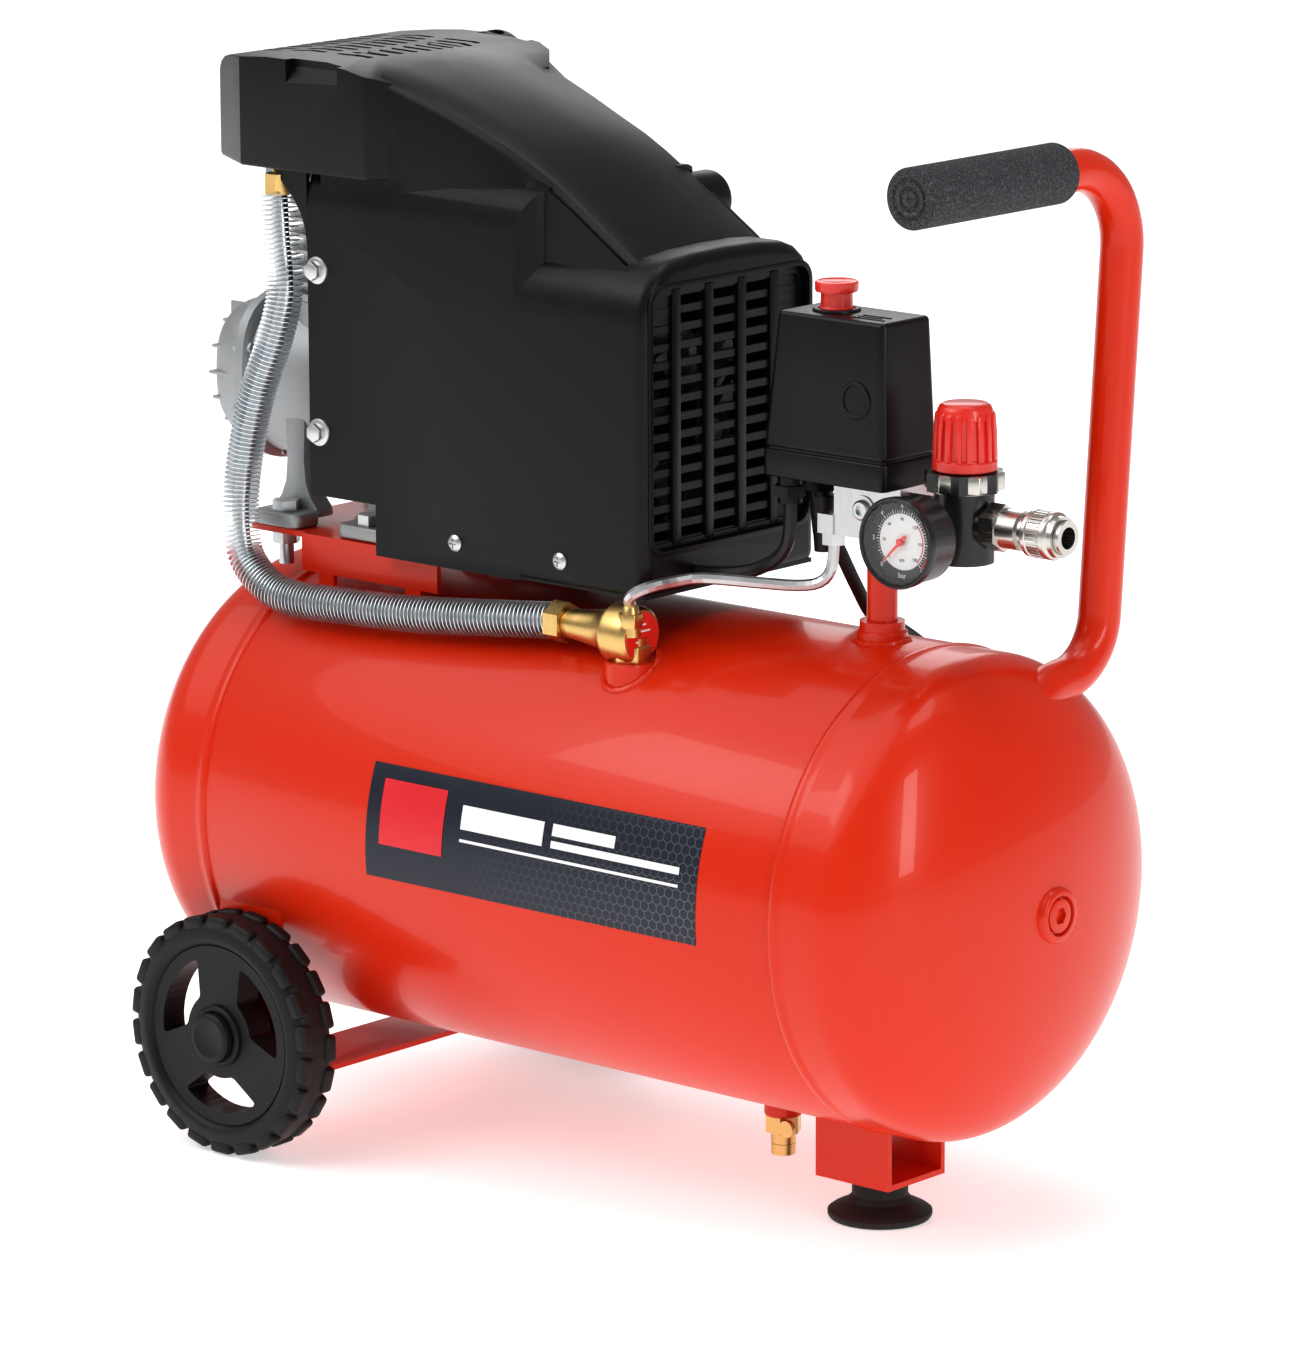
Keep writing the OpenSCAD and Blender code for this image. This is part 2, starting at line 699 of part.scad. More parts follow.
module shroud_screws() {
    color(zinc) placed() for (s = [0, 1]) {
        mirror([0, s, 0]) {
            for (z = hex_screw_zs) {
                ycyl(-shroud_y - 1.5, -shroud_y, 7.5, hex_screw_x, z);
                yhex(-shroud_y - 6, -shroud_y - 1.5, 9, hex_screw_x, z);
                ycyl(-shroud_y, -shroud_y + 12, 3, hex_screw_x, z);
            }
            for (x = cross_screw_xs) {
                ycyl(-shroud_y - 2.4, -shroud_y, 4.5, x, cross_screw_z);
                ycyl(-shroud_y, -shroud_y + 8, 2.1, x, cross_screw_z);
            }
        }
    }
}

module tube_fittings() {
    color(brass) placed() {
        ycyl(-64, -33, 5, cyl_x + 7, valve_z + 8);
        zhex(503, 514, 13, cyl_x + 7, -64);
        difference() {
            xhex(2, 12, 19, valve_y, valve_z_axis);
            xcyl(1, 13, 6, valve_y, valve_z_axis);
        }
    }
}
module finned_tube() {
    color(zinc) placed() swept_tube(fin_route, 3, fin_r, 10, [1, 0, 0]);
}
module check_valve() {
    color(brass) placed() {
        xcyl(2.5, 12, 5.9, valve_y, valve_z_axis);
        xcone(12, 44, 8, 11, valve_y, valve_z_axis);
        xhex(44, 62, 23, valve_y, valve_z_axis);
        zhex(287.2, 301, 19, valve_x, valve_y);
        zcyl(276, 287.2, 5.9, valve_x, valve_y);
        zcyl(304, 318, 4, 60, -73);
        zhex(309, 317, 11, 60, -73);
    }
}
module unloader_tube() {
    color(zinc) placed() swept_tube(unload_route, 3, 3, 8, [1, 0, 0]);
}

module riser_pipe() {
    base = axis_h + tank_r + 5;
    color(paint_red) placed() {
        difference() {
            union() {
                zcyl(base, 356, 7.8, riser_x, 0);
                zcyl(base, base + 5, 11.5, riser_x, 0);
            }
            zcyl(base - 1, 357, 5.5, riser_x, 0);
        }
    }
}
module manifold() {
    color(zinc) placed() difference() {
        union() {
            box(144, 187, -13, 13, 356, 385);
            xhex(187, reg_x - 15, 17, reg_y + 3, outlet_z);
            zhex(350, 356, 11, 140, -8);
            box(134, 144, -14, -2, 356, 366);
            zcyl(385, 389, 8, riser_x - 9, -2);
        }
        zcyl(355, 376, 5.5, riser_x, 0);
        xcyl(170, reg_x - 14, 4, reg_y + 3, outlet_z);
    }
}
module switch_base() {
    color(black) placed() difference() {
        translate([0, 0, 385]) linear_extrude(15) round_rect(111, 191, -31, 13, 3);
        translate([0, 0, 388]) linear_extrude(13) round_rect(114, 188, -28, 10, 2);
        zcyl(384, 389, 8, riser_x - 9, -2);
        for (y = [-20, 4]) zcyl(384, 389, 5, 121, y);
    }
}
module switch_cover() {
    color(black) placed() difference() {
        hull() {
            translate([0, 0, 400]) linear_extrude(1) round_rect(111.5, 190.5, -30.5, 12.5, 4, $fn = 32);
            translate([0, 0, 469]) linear_extrude(1) round_rect(120, 189.5, -30, 9, 4, $fn = 32);
        }
        hull() {
            translate([0, 0, 399]) linear_extrude(1) round_rect(114, 188, -28, 10, 4, $fn = 32);
            translate([0, 0, 466]) linear_extrude(1) round_rect(122.5, 187, -27.5, 6.5, 4, $fn = 32);
        }
        zcyl(465, 471, 9.08, 143, -10);
    }
}
module switch_button() {
    color("red") placed() {
        zcyl(462, 480, 9, 143, -10);
        zcyl(480, 485, 11.5, 143, -10);
    }
}
module cable_glands() {
    color(black) placed() for (y = [-20, 4]) {
        difference() {
            union() {
                zcyl(371, 385, 6.5, 121, y);
                zhex(374, 380, 15, 121, y);
                zcyl(385, 390, 4.9, 121, y);
            }
            zcyl(371.5, 391, 3, 121, y);
        }
    }
}
module motor_cable() {
    color(black) placed() swept_tube(motor_route, 4, cord_d / 2, 8, [1, 0, 0]);
}
// Relief valve on the back of the manifold, with its pull ring
module safety_valve() {
    color(brass) placed() {
        ycyl(13, 19, 8, 176, 371);
        ycyl(19, 40, 6.5, 176, 371);
        ycyl(40, 44, 3, 176, 371);
        difference() {
            xcyl(175, 177, 8, 51, 371);
            xcyl(174, 178, 6, 51, 371);
        }
    }
}

module regulator_body() {
    color(black) placed() difference() {
        union() {
            zcyl(352, 388.5, 15, reg_x, reg_y);
            zhex(388.5, 398, 35, reg_x, reg_y);
            ycyl(-36, reg_y, 6, gauge_x, gauge_z);
            xcyl(reg_x, reg_x + 17, 9, reg_y, outlet_z);
            zcyl(398, 410, 9, reg_x, reg_y);
        }
        xcyl(reg_x + 6, reg_x + 18, 6.5, reg_y, outlet_z);
    }
}
module regulator_knob() {
    color("red") placed() difference() {
        union() {
            zcyl(398.4, 432, knob_d / 2 - 1, reg_x, reg_y);
            for (a = [0 : 20 : 340]) {
                translate([reg_x, reg_y, 0]) rotate([0, 0, a]) box(0, knob_d / 2, -1.3, 1.3, 400, 427);
            }
        }
        zcyl(397, 414, 9.06, reg_x, reg_y);
    }
}
module gauge_case() {
    color(black) placed() difference() {
        union() {
            ycyl(gauge_face, gauge_face + 10, gauge_d / 2, gauge_x, gauge_z);
            ycyl(gauge_face + 10, -36, gauge_d / 2 - 2, gauge_x, gauge_z);
        }
        ycyl(gauge_face - 1, gauge_face + 8, gauge_d / 2 - 2.5, gauge_x, gauge_z);
    }
}
module gauge_dial() {
    color("white") placed() difference() {
        ycyl(gauge_face + 7, gauge_face + 8, gauge_d / 2 - 2.6, gauge_x, gauge_z);
        ycyl(gauge_face + 6, gauge_face + 9, 1.05, gauge_x, gauge_z);
    }
}
// The needle points to zero, at the lower left of the dial
module gauge_needle() {
    color("red") placed() translate([gauge_x, 0, gauge_z]) {
        ycyl(gauge_face + 4.4, gauge_face + 5.4, 2.6);
        ycyl(gauge_face + 5.2, gauge_face + 7.6, 1);
        rotate([0, -135, 0]) box(-0.5, 0.5, gauge_face + 4.6, gauge_face + 5.2, -5, 14);
    }
}
module gauge_lens() {
    color([0.85, 0.9, 0.95, 0.4]) placed() {
        ycyl(gauge_face + 0.6, gauge_face + 2.1, gauge_d / 2 - 2.5, gauge_x, gauge_z);
    }
}
module coupler_body() {
    color(zinc) placed() difference() {
        union() {
            xcyl(reg_x + 7, reg_x + 17, 6.4, reg_y, outlet_z);
            xhex(reg_x + 17, 250, 21, reg_y, outlet_z);
            xcyl(250, 262, 10, reg_y, outlet_z);
            xcyl(262, coupler_end, 8.5, reg_y, outlet_z);
        }
        xcyl(266, coupler_end + 1, socket_d / 2, reg_y, outlet_z);
        xcyl(reg_x + 6, 267, 3, reg_y, outlet_z);
    }
}
module coupler_sleeve() {
    color(zinc) placed() difference() {
        union() {
            xcyl(267, 283, 12, reg_y, outlet_z);
            xcyl(283, 286, 10.6, reg_y, outlet_z);
        }
        xcyl(266, 287, 8.55, reg_y, outlet_z);
    }
}

module mains_cord() {
    color(black) placed() swept_tube(cord_route, 4, cord_d / 2, 8, [1, 0, 0]);
}
module cord_coil() {
    color(black) placed() translate([coil_x, coil_y, 0])
        rotate_extrude() translate([coil_r - cord_d, 0]) square(2 * cord_d);
}
module cord_plug() {
    color(black) placed() translate([coil_x, coil_y, 0]) {
        xcone(-46, -29, 10, 4.5, 35, 18.5);
        xcyl(-88, -46, 18.5, 35, 18.5);
        for (y = [-9.5, 9.5]) xcyl(-107, -88, 2.4, 35 + y, 18.5);
    }
}

tank_shell();
tank_head_left();
tank_head_right();
inspection_plug();
wheel_bracket();
wheel_front();
wheel_rear();
hub_cap_front();
hub_cap_rear();
axle_bolts();
foot_bracket();
rubber_foot();
foot_bolt();
drain_body();
drain_screw();
handle_tube();
handle_grip();
pump_platform();
pump_bolts();
crankcase();
end_cover();
oil_sight_glass();
cylinder_barrel();
valve_plate();
cylinder_head();
piston();
connecting_rod();
crankshaft();
bearings();
stator();
rotor();
end_bell();
fan();
capacitor();
air_filter();
shroud();
shroud_screws();
tube_fittings();
finned_tube();
check_valve();
unloader_tube();
riser_pipe();
manifold();
switch_base();
switch_cover();
switch_button();
cable_glands();
motor_cable();
safety_valve();
regulator_body();
regulator_knob();
gauge_case();
gauge_dial();
gauge_needle();
gauge_lens();
coupler_body();
coupler_sleeve();
mains_cord();
cord_coil();
cord_plug();
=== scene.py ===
import json
import math

import bpy
from mathutils import Matrix, Vector


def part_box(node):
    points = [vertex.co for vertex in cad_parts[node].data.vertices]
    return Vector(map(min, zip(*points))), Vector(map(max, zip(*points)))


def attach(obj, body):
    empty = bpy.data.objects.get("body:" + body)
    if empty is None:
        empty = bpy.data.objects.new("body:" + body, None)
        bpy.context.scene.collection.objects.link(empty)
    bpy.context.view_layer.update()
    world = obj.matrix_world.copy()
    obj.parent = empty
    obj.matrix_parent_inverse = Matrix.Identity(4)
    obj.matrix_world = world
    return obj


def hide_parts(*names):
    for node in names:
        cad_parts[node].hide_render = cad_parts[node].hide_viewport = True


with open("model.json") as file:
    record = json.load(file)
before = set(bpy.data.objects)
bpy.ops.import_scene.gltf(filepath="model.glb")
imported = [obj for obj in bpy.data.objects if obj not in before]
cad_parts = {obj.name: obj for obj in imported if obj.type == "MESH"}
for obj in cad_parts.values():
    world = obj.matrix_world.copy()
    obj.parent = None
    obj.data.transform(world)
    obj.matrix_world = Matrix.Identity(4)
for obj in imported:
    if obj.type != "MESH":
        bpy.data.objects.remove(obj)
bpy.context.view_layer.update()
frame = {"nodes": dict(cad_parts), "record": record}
mm = 0.001
tankLow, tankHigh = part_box("tank_shell")
tankMid = (tankLow.x + tankHigh.x) / 2  # every place along X is counted from the tank's middle
tankRadius = (tankHigh.y - tankLow.y) / 2
tankHeight = 178 * mm
mergeGap = 0.000005  # points closer than this, in metres, become one


def place(x, y, z):
    # a point given in millimetres from the tank's middle, the centre line and the floor
    return Vector((tankMid + x * mm, y * mm, z * mm))


def addPiece(name, data):
    piece = bpy.data.objects.new(name, data)
    bpy.context.scene.collection.objects.link(piece)
    return piece


# Studio: camera, floor and lights

camera = {
    "place": (2296.5, -2604.9, 1026.9),
    "azimuth": 41.25,
    "tilt": 12.44,
    "roll": -0.2,
    "lens": 181.8,
}


def makeCamera():
    data = bpy.data.cameras.new("camera")
    data.lens = camera["lens"]
    data.sensor_width = 36
    data.clip_end = 20
    holder = addPiece("camera", data)
    turn = Matrix.Rotation(math.radians(camera["azimuth"]), 4, "Z")
    turn = turn @ Matrix.Rotation(math.radians(90 - camera["tilt"]), 4, "X")
    turn = turn @ Matrix.Rotation(math.radians(camera["roll"]), 4, "Z")
    holder.matrix_world = Matrix.Translation(place(*camera["place"])) @ turn
    bpy.context.scene.camera = holder


def softLight(name, where, size, energy, color=(1, 1, 1)):
    data = bpy.data.lights.new(name, "AREA")
    data.shape = "RECTANGLE"
    data.size = size[0]
    data.size_y = size[1]
    data.energy = energy
    data.color = color
    holder = addPiece(name, data)
    holder.location = where
    aim = Vector((0, 0, 0.3)) - Vector(where)
    holder.rotation_euler = aim.to_track_quat("-Z", "Y").to_euler()


studio = {
    "floorColor": (0.93, 0.93, 0.93, 1),
    "worldColor": (1, 1, 1, 1),
    "worldStrength": 0.3,
    "sun": 1.05,
    "floorGlow": 0.4,
}


def makeStudio():
    bpy.ops.object.select_all(action="DESELECT")
    bpy.ops.mesh.primitive_plane_add(size=30, location=(0, 0, -0.0005))
    floor = bpy.context.object
    floor.name = "studio_floor"
    paint = bpy.data.materials.new("studio_floor")
    paint.use_nodes = True
    shader = paint.node_tree.nodes["Principled BSDF"]
    shader.inputs["Base Color"].default_value = studio["floorColor"]
    shader.inputs["Roughness"].default_value = 0.85
    shader.inputs["Emission Color"].default_value = (1, 1, 1, 1)
    shader.inputs["Emission Strength"].default_value = studio["floorGlow"]
    floor.data.materials.append(paint)
    world = bpy.data.worlds.new("studio")
    bpy.context.scene.world = world
    world.use_nodes = True
    sky = world.node_tree.nodes["Background"]
    sky.inputs["Color"].default_value = studio["worldColor"]
    sky.inputs["Strength"].default_value = studio["worldStrength"]
    sun = bpy.data.lights.new("sun_light", "SUN")
    sun.energy = studio["sun"]
    sun.angle = math.radians(70)
    holder = addPiece("sun_light", sun)
    holder.rotation_euler = (math.radians(32), math.radians(-14), math.radians(-20))
    softLight("key_light", (-1.2, -2.2, 2.6), (1.6, 1.2), 16)
    softLight("side_light", (2.6, -0.4, 1.3), (0.4, 1.8), 16)
    softLight("top_light", (0.2, 0.5, 2.8), (2.0, 0.7), 12)
    softLight("back_light", (-1.8, 2.2, 1.6), (1.2, 1.2), 8)


makeCamera()
makeStudio()
bpy.context.scene.view_settings.view_transform = "Standard"
bpy.context.scene.view_settings.look = "Medium High Contrast"
print("studio ready")


# Finishes: a socket that takes part in plain arithmetic, and a material that is built from such sockets

class Field:
    def __init__(self, finish, socket):
        self.finish = finish
        self.socket = socket

    def math(self, operation, other, swapped=False):
        pair = [other, self] if swapped else [self, other]
        return self.finish.make("ShaderNodeMath", {"operation": operation}, {0: pair[0], 1: pair[1]})

    def __add__(self, other):
        return self.math("ADD", other)

    def __radd__(self, other):
        return self.math("ADD", other, True)

    def __sub__(self, other):
        return self.math("SUBTRACT", other)

    def __rsub__(self, other):
        return self.math("SUBTRACT", other, True)

    def __mul__(self, other):
        return self.math("MULTIPLY", other)

    def __rmul__(self, other):
        return self.math("MULTIPLY", other, True)

    def __truediv__(self, other):
        return self.math("DIVIDE", other)

    def __gt__(self, other):
        return self.math("GREATER_THAN", other)

    def __lt__(self, other):
        return self.math("LESS_THAN", other)


class Finish:
    def __init__(self, name, settings):
        self.material = bpy.data.materials.new(name)
        self.material.use_nodes = True
        self.nodes = self.material.node_tree.nodes
        self.shader = self.nodes["Principled BSDF"]
        for socket, value in settings.items():
            if socket != "Slot":
                self.shader.inputs[socket].default_value = value
        self.slot = settings["Slot"]

    def make(self, kind, settings, sockets, output=0):
        node = self.nodes.new(kind)
        for key, value in settings.items():
            if key == "stops":
                self.setStops(node.color_ramp, value)
            else:
                setattr(node, key, value)
        for key, value in sockets.items():
            if isinstance(value, Field):
                self.material.node_tree.links.new(value.socket, node.inputs[key])
            else:
                node.inputs[key].default_value = value
        return Field(self, node.outputs[output])

    def setStops(self, ramp, stops):
        while len(ramp.elements) < len(stops):
            ramp.elements.new(0.5)
        for element, stop in zip(ramp.elements, stops):
            element.position = stop[0]
            element.color = stop[1]

    def where(self):
        return self.make("ShaderNodeTexCoord", {}, {}, 3)

    def noise(self, scale, detail=3.0, rough=0.55):
        return self.make("ShaderNodeTexNoise", {}, {
            "Vector": self.where(), "Scale": scale, "Detail": detail, "Roughness": rough,
        })

    def axis(self, name, vector=None):
        return self.make("ShaderNodeSeparateXYZ", {}, {"Vector": vector or self.where()}, "XYZ".index(name))

    def ramp(self, factor, stops):
        return self.make("ShaderNodeValToRGB", {"stops": stops}, {"Fac": factor})

    def mix(self, factor, first, second):
        return self.make("ShaderNodeMix", {"data_type": "RGBA"}, {0: factor, 6: first, 7: second}, 2)

    def feed(self, socket, field):
        self.material.node_tree.links.new(field.socket, self.shader.inputs[socket])

    def bump(self, height, strength, distance):
        self.feed("Normal", self.make("ShaderNodeBump", {}, {
            "Height": height, "Strength": strength, "Distance": distance,
        }))


def shade(color, gain):
    return tuple(min(1.0, part * gain) for part in color[:3]) + (1,)


def mottled(name, slot, color, rough, spread=0.12, scale=60.0, grain=900.0, depth=0.00012, strength=0.35,
            extra=None):
    # a finish whose colour and gloss wander a little, with a fine moulded or cast grain
    finish = Finish(name, {"Slot": slot, "Base Color": shade(color, 1), "Roughness": rough, **(extra or {})})
    cloud = finish.noise(scale)
    finish.feed("Base Color", finish.mix(cloud, shade(color, 1 - spread), shade(color, 1 + spread)))
    finish.feed("Roughness", cloud * (rough * 0.4) + rough * 0.8)
    finish.bump(finish.noise(grain, 2.0), strength, depth)
    return finish


def paintFinish():
    # enamel with faint orange peel and a little dust in the gloss
    color = (0.76, 0.042, 0.012)
    finish = Finish("tank_enamel", {
        "Slot": "tank_paint", "Base Color": shade(color, 1), "Roughness": 0.3,
        "Coat Weight": 0.25, "Coat Roughness": 0.04, "Specular IOR Level": 0.3,
    })
    cloud = finish.noise(7.0, 4.0)
    finish.feed("Base Color", finish.mix(cloud, (0.64, 0.024, 0.002, 1), (0.72, 0.032, 0.003, 1)))
    finish.feed("Roughness", finish.noise(25.0, 2.0) * 0.08 + 0.26)
    finish.bump(finish.noise(330.0, 1.0), 0.08, 0.00004)
    return finish


def brushedFinish(name, slot, color, rough, stretch):
    # plated or turned metal with fine scratches that run one way
    finish = Finish(name, {"Slot": slot, "Base Color": shade(color, 1), "Metallic": 1.0, "Roughness": rough})
    vector = finish.make("ShaderNodeMapping", {}, {"Vector": finish.where(), "Scale": stretch})
    lines = finish.make("ShaderNodeTexNoise", {}, {"Vector": vector, "Scale": 1.0, "Detail": 4.0})
    cloud = finish.noise(90.0)
    finish.feed("Base Color", finish.mix(cloud, shade(color, 0.82), shade(color, 1.12)))
    finish.feed("Roughness", lines * 0.2 + cloud * 0.14 + (rough - 0.16))
    finish.bump(lines, 0.2, 0.00008)
    return finish


def foamFinish():
    # closed-cell foam: a pale dusty speckle over dark grey
    finish = Finish("grip_foam", {"Slot": "grip_foam", "Base Color": (0.045, 0.047, 0.05, 1), "Roughness": 0.88,
                                  "Specular IOR Level": 0.25})
    cells = finish.make("ShaderNodeTexVoronoi", {}, {"Vector": finish.where(), "Scale": 900.0})
    finish.feed("Base Color", finish.ramp(cells, [
        (0.0, (0.02, 0.021, 0.023, 1)), (0.5, (0.05, 0.052, 0.056, 1)), (1.0, (0.11, 0.115, 0.12, 1)),
    ]))
    finish.bump(cells, 0.6, 0.0003)
    return finish


def glassFinish():
    finish = Finish("gauge_window", {
        "Slot": "lens", "Base Color": (1, 1, 1, 1), "Roughness": 0.04, "Alpha": 0.04,
        "Specular IOR Level": 0.3, "IOR": 1.45,
    })
    smear = finish.noise(120.0)
    finish.feed("Roughness", smear * 0.06 + 0.02)
    return finish


enamel = paintFinish()
castMetal = mottled("cast_aluminium", "cast_aluminium", (0.4, 0.41, 0.42), 0.5, 0.14, 30.0, 700.0, 0.0003, 0.5,
                    {"Metallic": 0.75})
shroudPlastic = mottled("shroud_plastic", "shroud_plastic", (0.0045, 0.0045, 0.0052), 0.38, 0.2, 22.0, 1100.0,
                        0.0002, 0.4, {"Specular IOR Level": 0.28})
switchPlastic = mottled("switch_plastic", "switch_plastic", (0.005, 0.005, 0.006), 0.34, 0.18, 30.0, 1300.0,
                        0.00014, 0.35, {"Specular IOR Level": 0.3})
wheelPlastic = mottled("wheel_plastic", "wheel_plastic", (0.009, 0.009, 0.01), 0.5, 0.25, 26.0, 1000.0,
                       0.0003, 0.4, {"Specular IOR Level": 0.34})
footRubber = mottled("foot_rubber", "foot_rubber", (0.012, 0.012, 0.012), 0.6, 0.25, 60.0, 800.0, 0.0002)
cableSheath = mottled("cable_sheath", "cable_sheath", (0.011, 0.011, 0.012), 0.45, 0.2, 120.0, 1400.0, 0.0001)
zincPlate = brushedFinish("zinc_plate", "zinc_steel", (0.66, 0.67, 0.68), 0.34, (700, 700, 60))
finMetal = brushedFinish("fin_metal", "finned_metal", (0.84, 0.87, 0.89), 0.34, (500, 500, 500))
nickel = brushedFinish("nickel_plate", "nickel", (0.62, 0.6, 0.56), 0.24, (60, 800, 800))
brass = brushedFinish("turned_brass", "brass", (0.74, 0.5, 0.2), 0.3, (600, 600, 120))
machinedSteel = brushedFinish("machined_steel", "machined_steel", (0.42, 0.43, 0.44), 0.36, (60, 900, 900))
buttonRed = mottled("button_red", "button_red", (0.75, 0.03, 0.018), 0.3, 0.08, 40.0, 900.0, 0.00008, 0.2,
                    {"Coat Weight": 0.3})
regulatorBlack = mottled("regulator_black", "regulator_black", (0.015, 0.015, 0.016), 0.28, 0.2, 60.0, 900.0,
                         0.00008, 0.25)
gripFoam = foamFinish()
dialWhite = mottled("dial_face", "dial_face", (0.82, 0.82, 0.81), 0.5, 0.03, 60.0, 900.0, 0.00004, 0.1)
dialInk = mottled("dial_ink", "dial_face", (0.012, 0.012, 0.014), 0.45, 0.1, 60.0, 900.0, 0.00004, 0.1)
dialRed = mottled("dial_red", "dial_face", (0.7, 0.03, 0.02), 0.45, 0.08, 60.0, 900.0, 0.00004, 0.1)
gaugeWindow = glassFinish()
print("finishes ready")


# Modelling helpers, all in edit mode on one active piece

def deselect():
    bpy.ops.object.select_all(action="DESELECT")


def activate(piece):
    deselect()
    piece.select_set(True)
    bpy.context.view_layer.objects.active = piece


def settle(piece):
    # puts the piece's place into its mesh
    activate(piece)
    bpy.ops.object.transform_apply(location=True, rotation=True, scale=True)
    return piece


def openMesh(piece):
    # edit mode with the whole mesh selected
    activate(piece)
    bpy.ops.object.mode_set(mode="EDIT")
    bpy.ops.mesh.select_all(action="SELECT")


def closeMesh():
    bpy.ops.object.mode_set(mode="OBJECT")


def clean(piece):
    openMesh(piece)
    bpy.ops.mesh.remove_doubles(threshold=mergeGap)
    bpy.ops.mesh.normals_make_consistent(inside=False)
    closeMesh()
    return piece


def turnMesh(piece, axis, angle, where):
    # turns a mesh round an axis through a place
    openMesh(piece)
    bpy.ops.transform.rotate(value=angle, orient_axis=axis, center_override=place(*where))
    closeMesh()
    return piece


def join(pieces):
    activate(pieces[0])
    for piece in pieces:
        piece.select_set(True)
    if len(pieces) > 1:
        bpy.ops.object.join()
    return bpy.context.object


def modify(piece, kind, **settings):
    activate(piece)
    modifier = piece.modifiers.new(kind.lower(), kind)
    for key, value in settings.items():
        setattr(modifier, key, value)
    bpy.ops.object.modifier_apply(modifier=modifier.name)
    return piece


def soften(piece, width, segments=2, angle=30):
    return modify(piece, "BEVEL", width=width * mm, segments=segments, limit_method="ANGLE",
                  angle_limit=math.radians(angle), harden_normals=False, use_clamp_overlap=True)


def cut(piece, tools, operation="DIFFERENCE", careful=False):
    tool = join(tools)
    modify(piece, "BOOLEAN", operation=operation, object=tool, solver="EXACT", use_self=careful,
           use_hole_tolerant=careful)
    bpy.data.objects.remove(tool)
    return piece


def hand(piece, name, body, finish, *nodes, smooth=35):
    # names a piece, gives it its finish and its body, and hides the CAD nodes that it stands for
    activate(piece)
    bpy.ops.object.shade_smooth_by_angle(angle=math.radians(smooth))
    piece.name = name
    if finish is not None:
        piece.data.materials.clear()
        piece.data.materials.append(finish.material)
    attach(piece, body)
    if nodes:
        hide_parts(*nodes)
    return piece


towards = {
    "x": Matrix.Rotation(math.radians(90), 4, "Y"),
    "y": Matrix.Rotation(math.radians(-90), 4, "X"),
    "z": Matrix.Identity(4),
}


def lathe(outline, axis, where, steps=96):
    # spins an outline of (height along the axis, radius) points round an axis through a place
    mesh = bpy.data.meshes.new("turned")
    points = [(radius * mm, 0, height * mm) for height, radius in outline]
    mesh.from_pydata(points, [(i, i + 1) for i in range(len(points) - 1)], [])
    piece = addPiece("turned", mesh)
    openMesh(piece)
    bpy.ops.mesh.spin(steps=steps, angle=math.tau, center=(0, 0, 0), axis=(0, 0, 1))
    closeMesh()
    clean(piece)
    piece.matrix_world = Matrix.Translation(place(*where)) @ towards[axis]
    return settle(piece)


def block(x0, x1, y0, y1, z0, z1):
    deselect()
    middle = place((x0 + x1) / 2, (y0 + y1) / 2, (z0 + z1) / 2)
    bpy.ops.mesh.primitive_cube_add(size=1, location=middle)
    piece = bpy.context.object
    piece.scale = ((x1 - x0) * mm, (y1 - y0) * mm, (z1 - z0) * mm)
    return settle(piece)


def rod(axis, start, end, radius, where, sides=48):
    # a straight cylinder along an axis; where gives the two other coordinates in order
    deselect()
    middle = (start + end) / 2
    at = {"x": (middle, where[0], where[1]), "y": (where[0], middle, where[1]), "z": (where[0], where[1], middle)}
    bpy.ops.mesh.primitive_cylinder_add(vertices=sides, radius=radius * mm, depth=(end - start) * mm,
                                        location=(0, 0, 0))
    piece = bpy.context.object
    piece.matrix_world = Matrix.Translation(place(*at[axis])) @ towards[axis]
    return settle(piece)


def hexagon(axis, start, end, flats, where):
    # a hexagon with its ends chamfered as a nut's are
    piece = rod(axis, start, end, flats / math.sqrt(3), where, 6)
    return soften(piece, min(flats * 0.05, 0.8), 2)


def extruded(points, axis, start, end):
    # a flat outline drawn across an axis and extruded along it; points are the two other coordinates in order
    mesh = bpy.data.meshes.new("outline")
    corners = []
    for first, second in points:
        corners.append({
            "x": place(start, first, second), "y": place(first, start, second), "z": place(first, second, start),
        }[axis])
    mesh.from_pydata(corners, [], [list(range(len(corners)))])
    piece = addPiece("outline", mesh)
    openMesh(piece)
    move = {"x": (1, 0, 0), "y": (0, 1, 0), "z": (0, 0, 1)}[axis]
    step = Vector(move) * (end - start) * mm
    bpy.ops.mesh.extrude_region_move(TRANSFORM_OT_translate={"value": step})
    bpy.ops.mesh.select_all(action="SELECT")
    bpy.ops.mesh.normals_make_consistent(inside=False)
    bpy.ops.object.mode_set(mode="OBJECT")
    return piece


def roundedRectangle(x0, x1, y0, y1, radius, steps=6):
    points = []
    centres = [(x1 - radius, y1 - radius, 0), (x0 + radius, y1 - radius, 90), (x0 + radius, y0 + radius, 180),
               (x1 - radius, y0 + radius, 270)]
    for x, y, first in centres:
        for i in range(steps + 1):
            angle = math.radians(first + 90 * i / steps)
            points.append((x + radius * math.cos(angle), y + radius * math.sin(angle)))
    return points


def tubeAlong(points, radius, sides=16, resolution=6, handles="AUTO"):
    # a round tube on a smooth curve through points in metres, made a mesh
    curve = bpy.data.curves.new("route", "CURVE")
    curve.dimensions = "3D"
    curve.resolution_u = resolution
    curve.bevel_depth = radius * mm
    curve.bevel_resolution = max(1, sides // 4 - 1)
    curve.use_fill_caps = True
    spline = curve.splines.new("BEZIER")
    spline.bezier_points.add(len(points) - 1)
    for knot, point in zip(spline.bezier_points, points):
        knot.co = point
        knot.handle_left_type = handles
        knot.handle_right_type = handles
    piece = addPiece("route", curve)
    activate(piece)
    bpy.ops.object.convert(target="MESH")
    return bpy.context.object


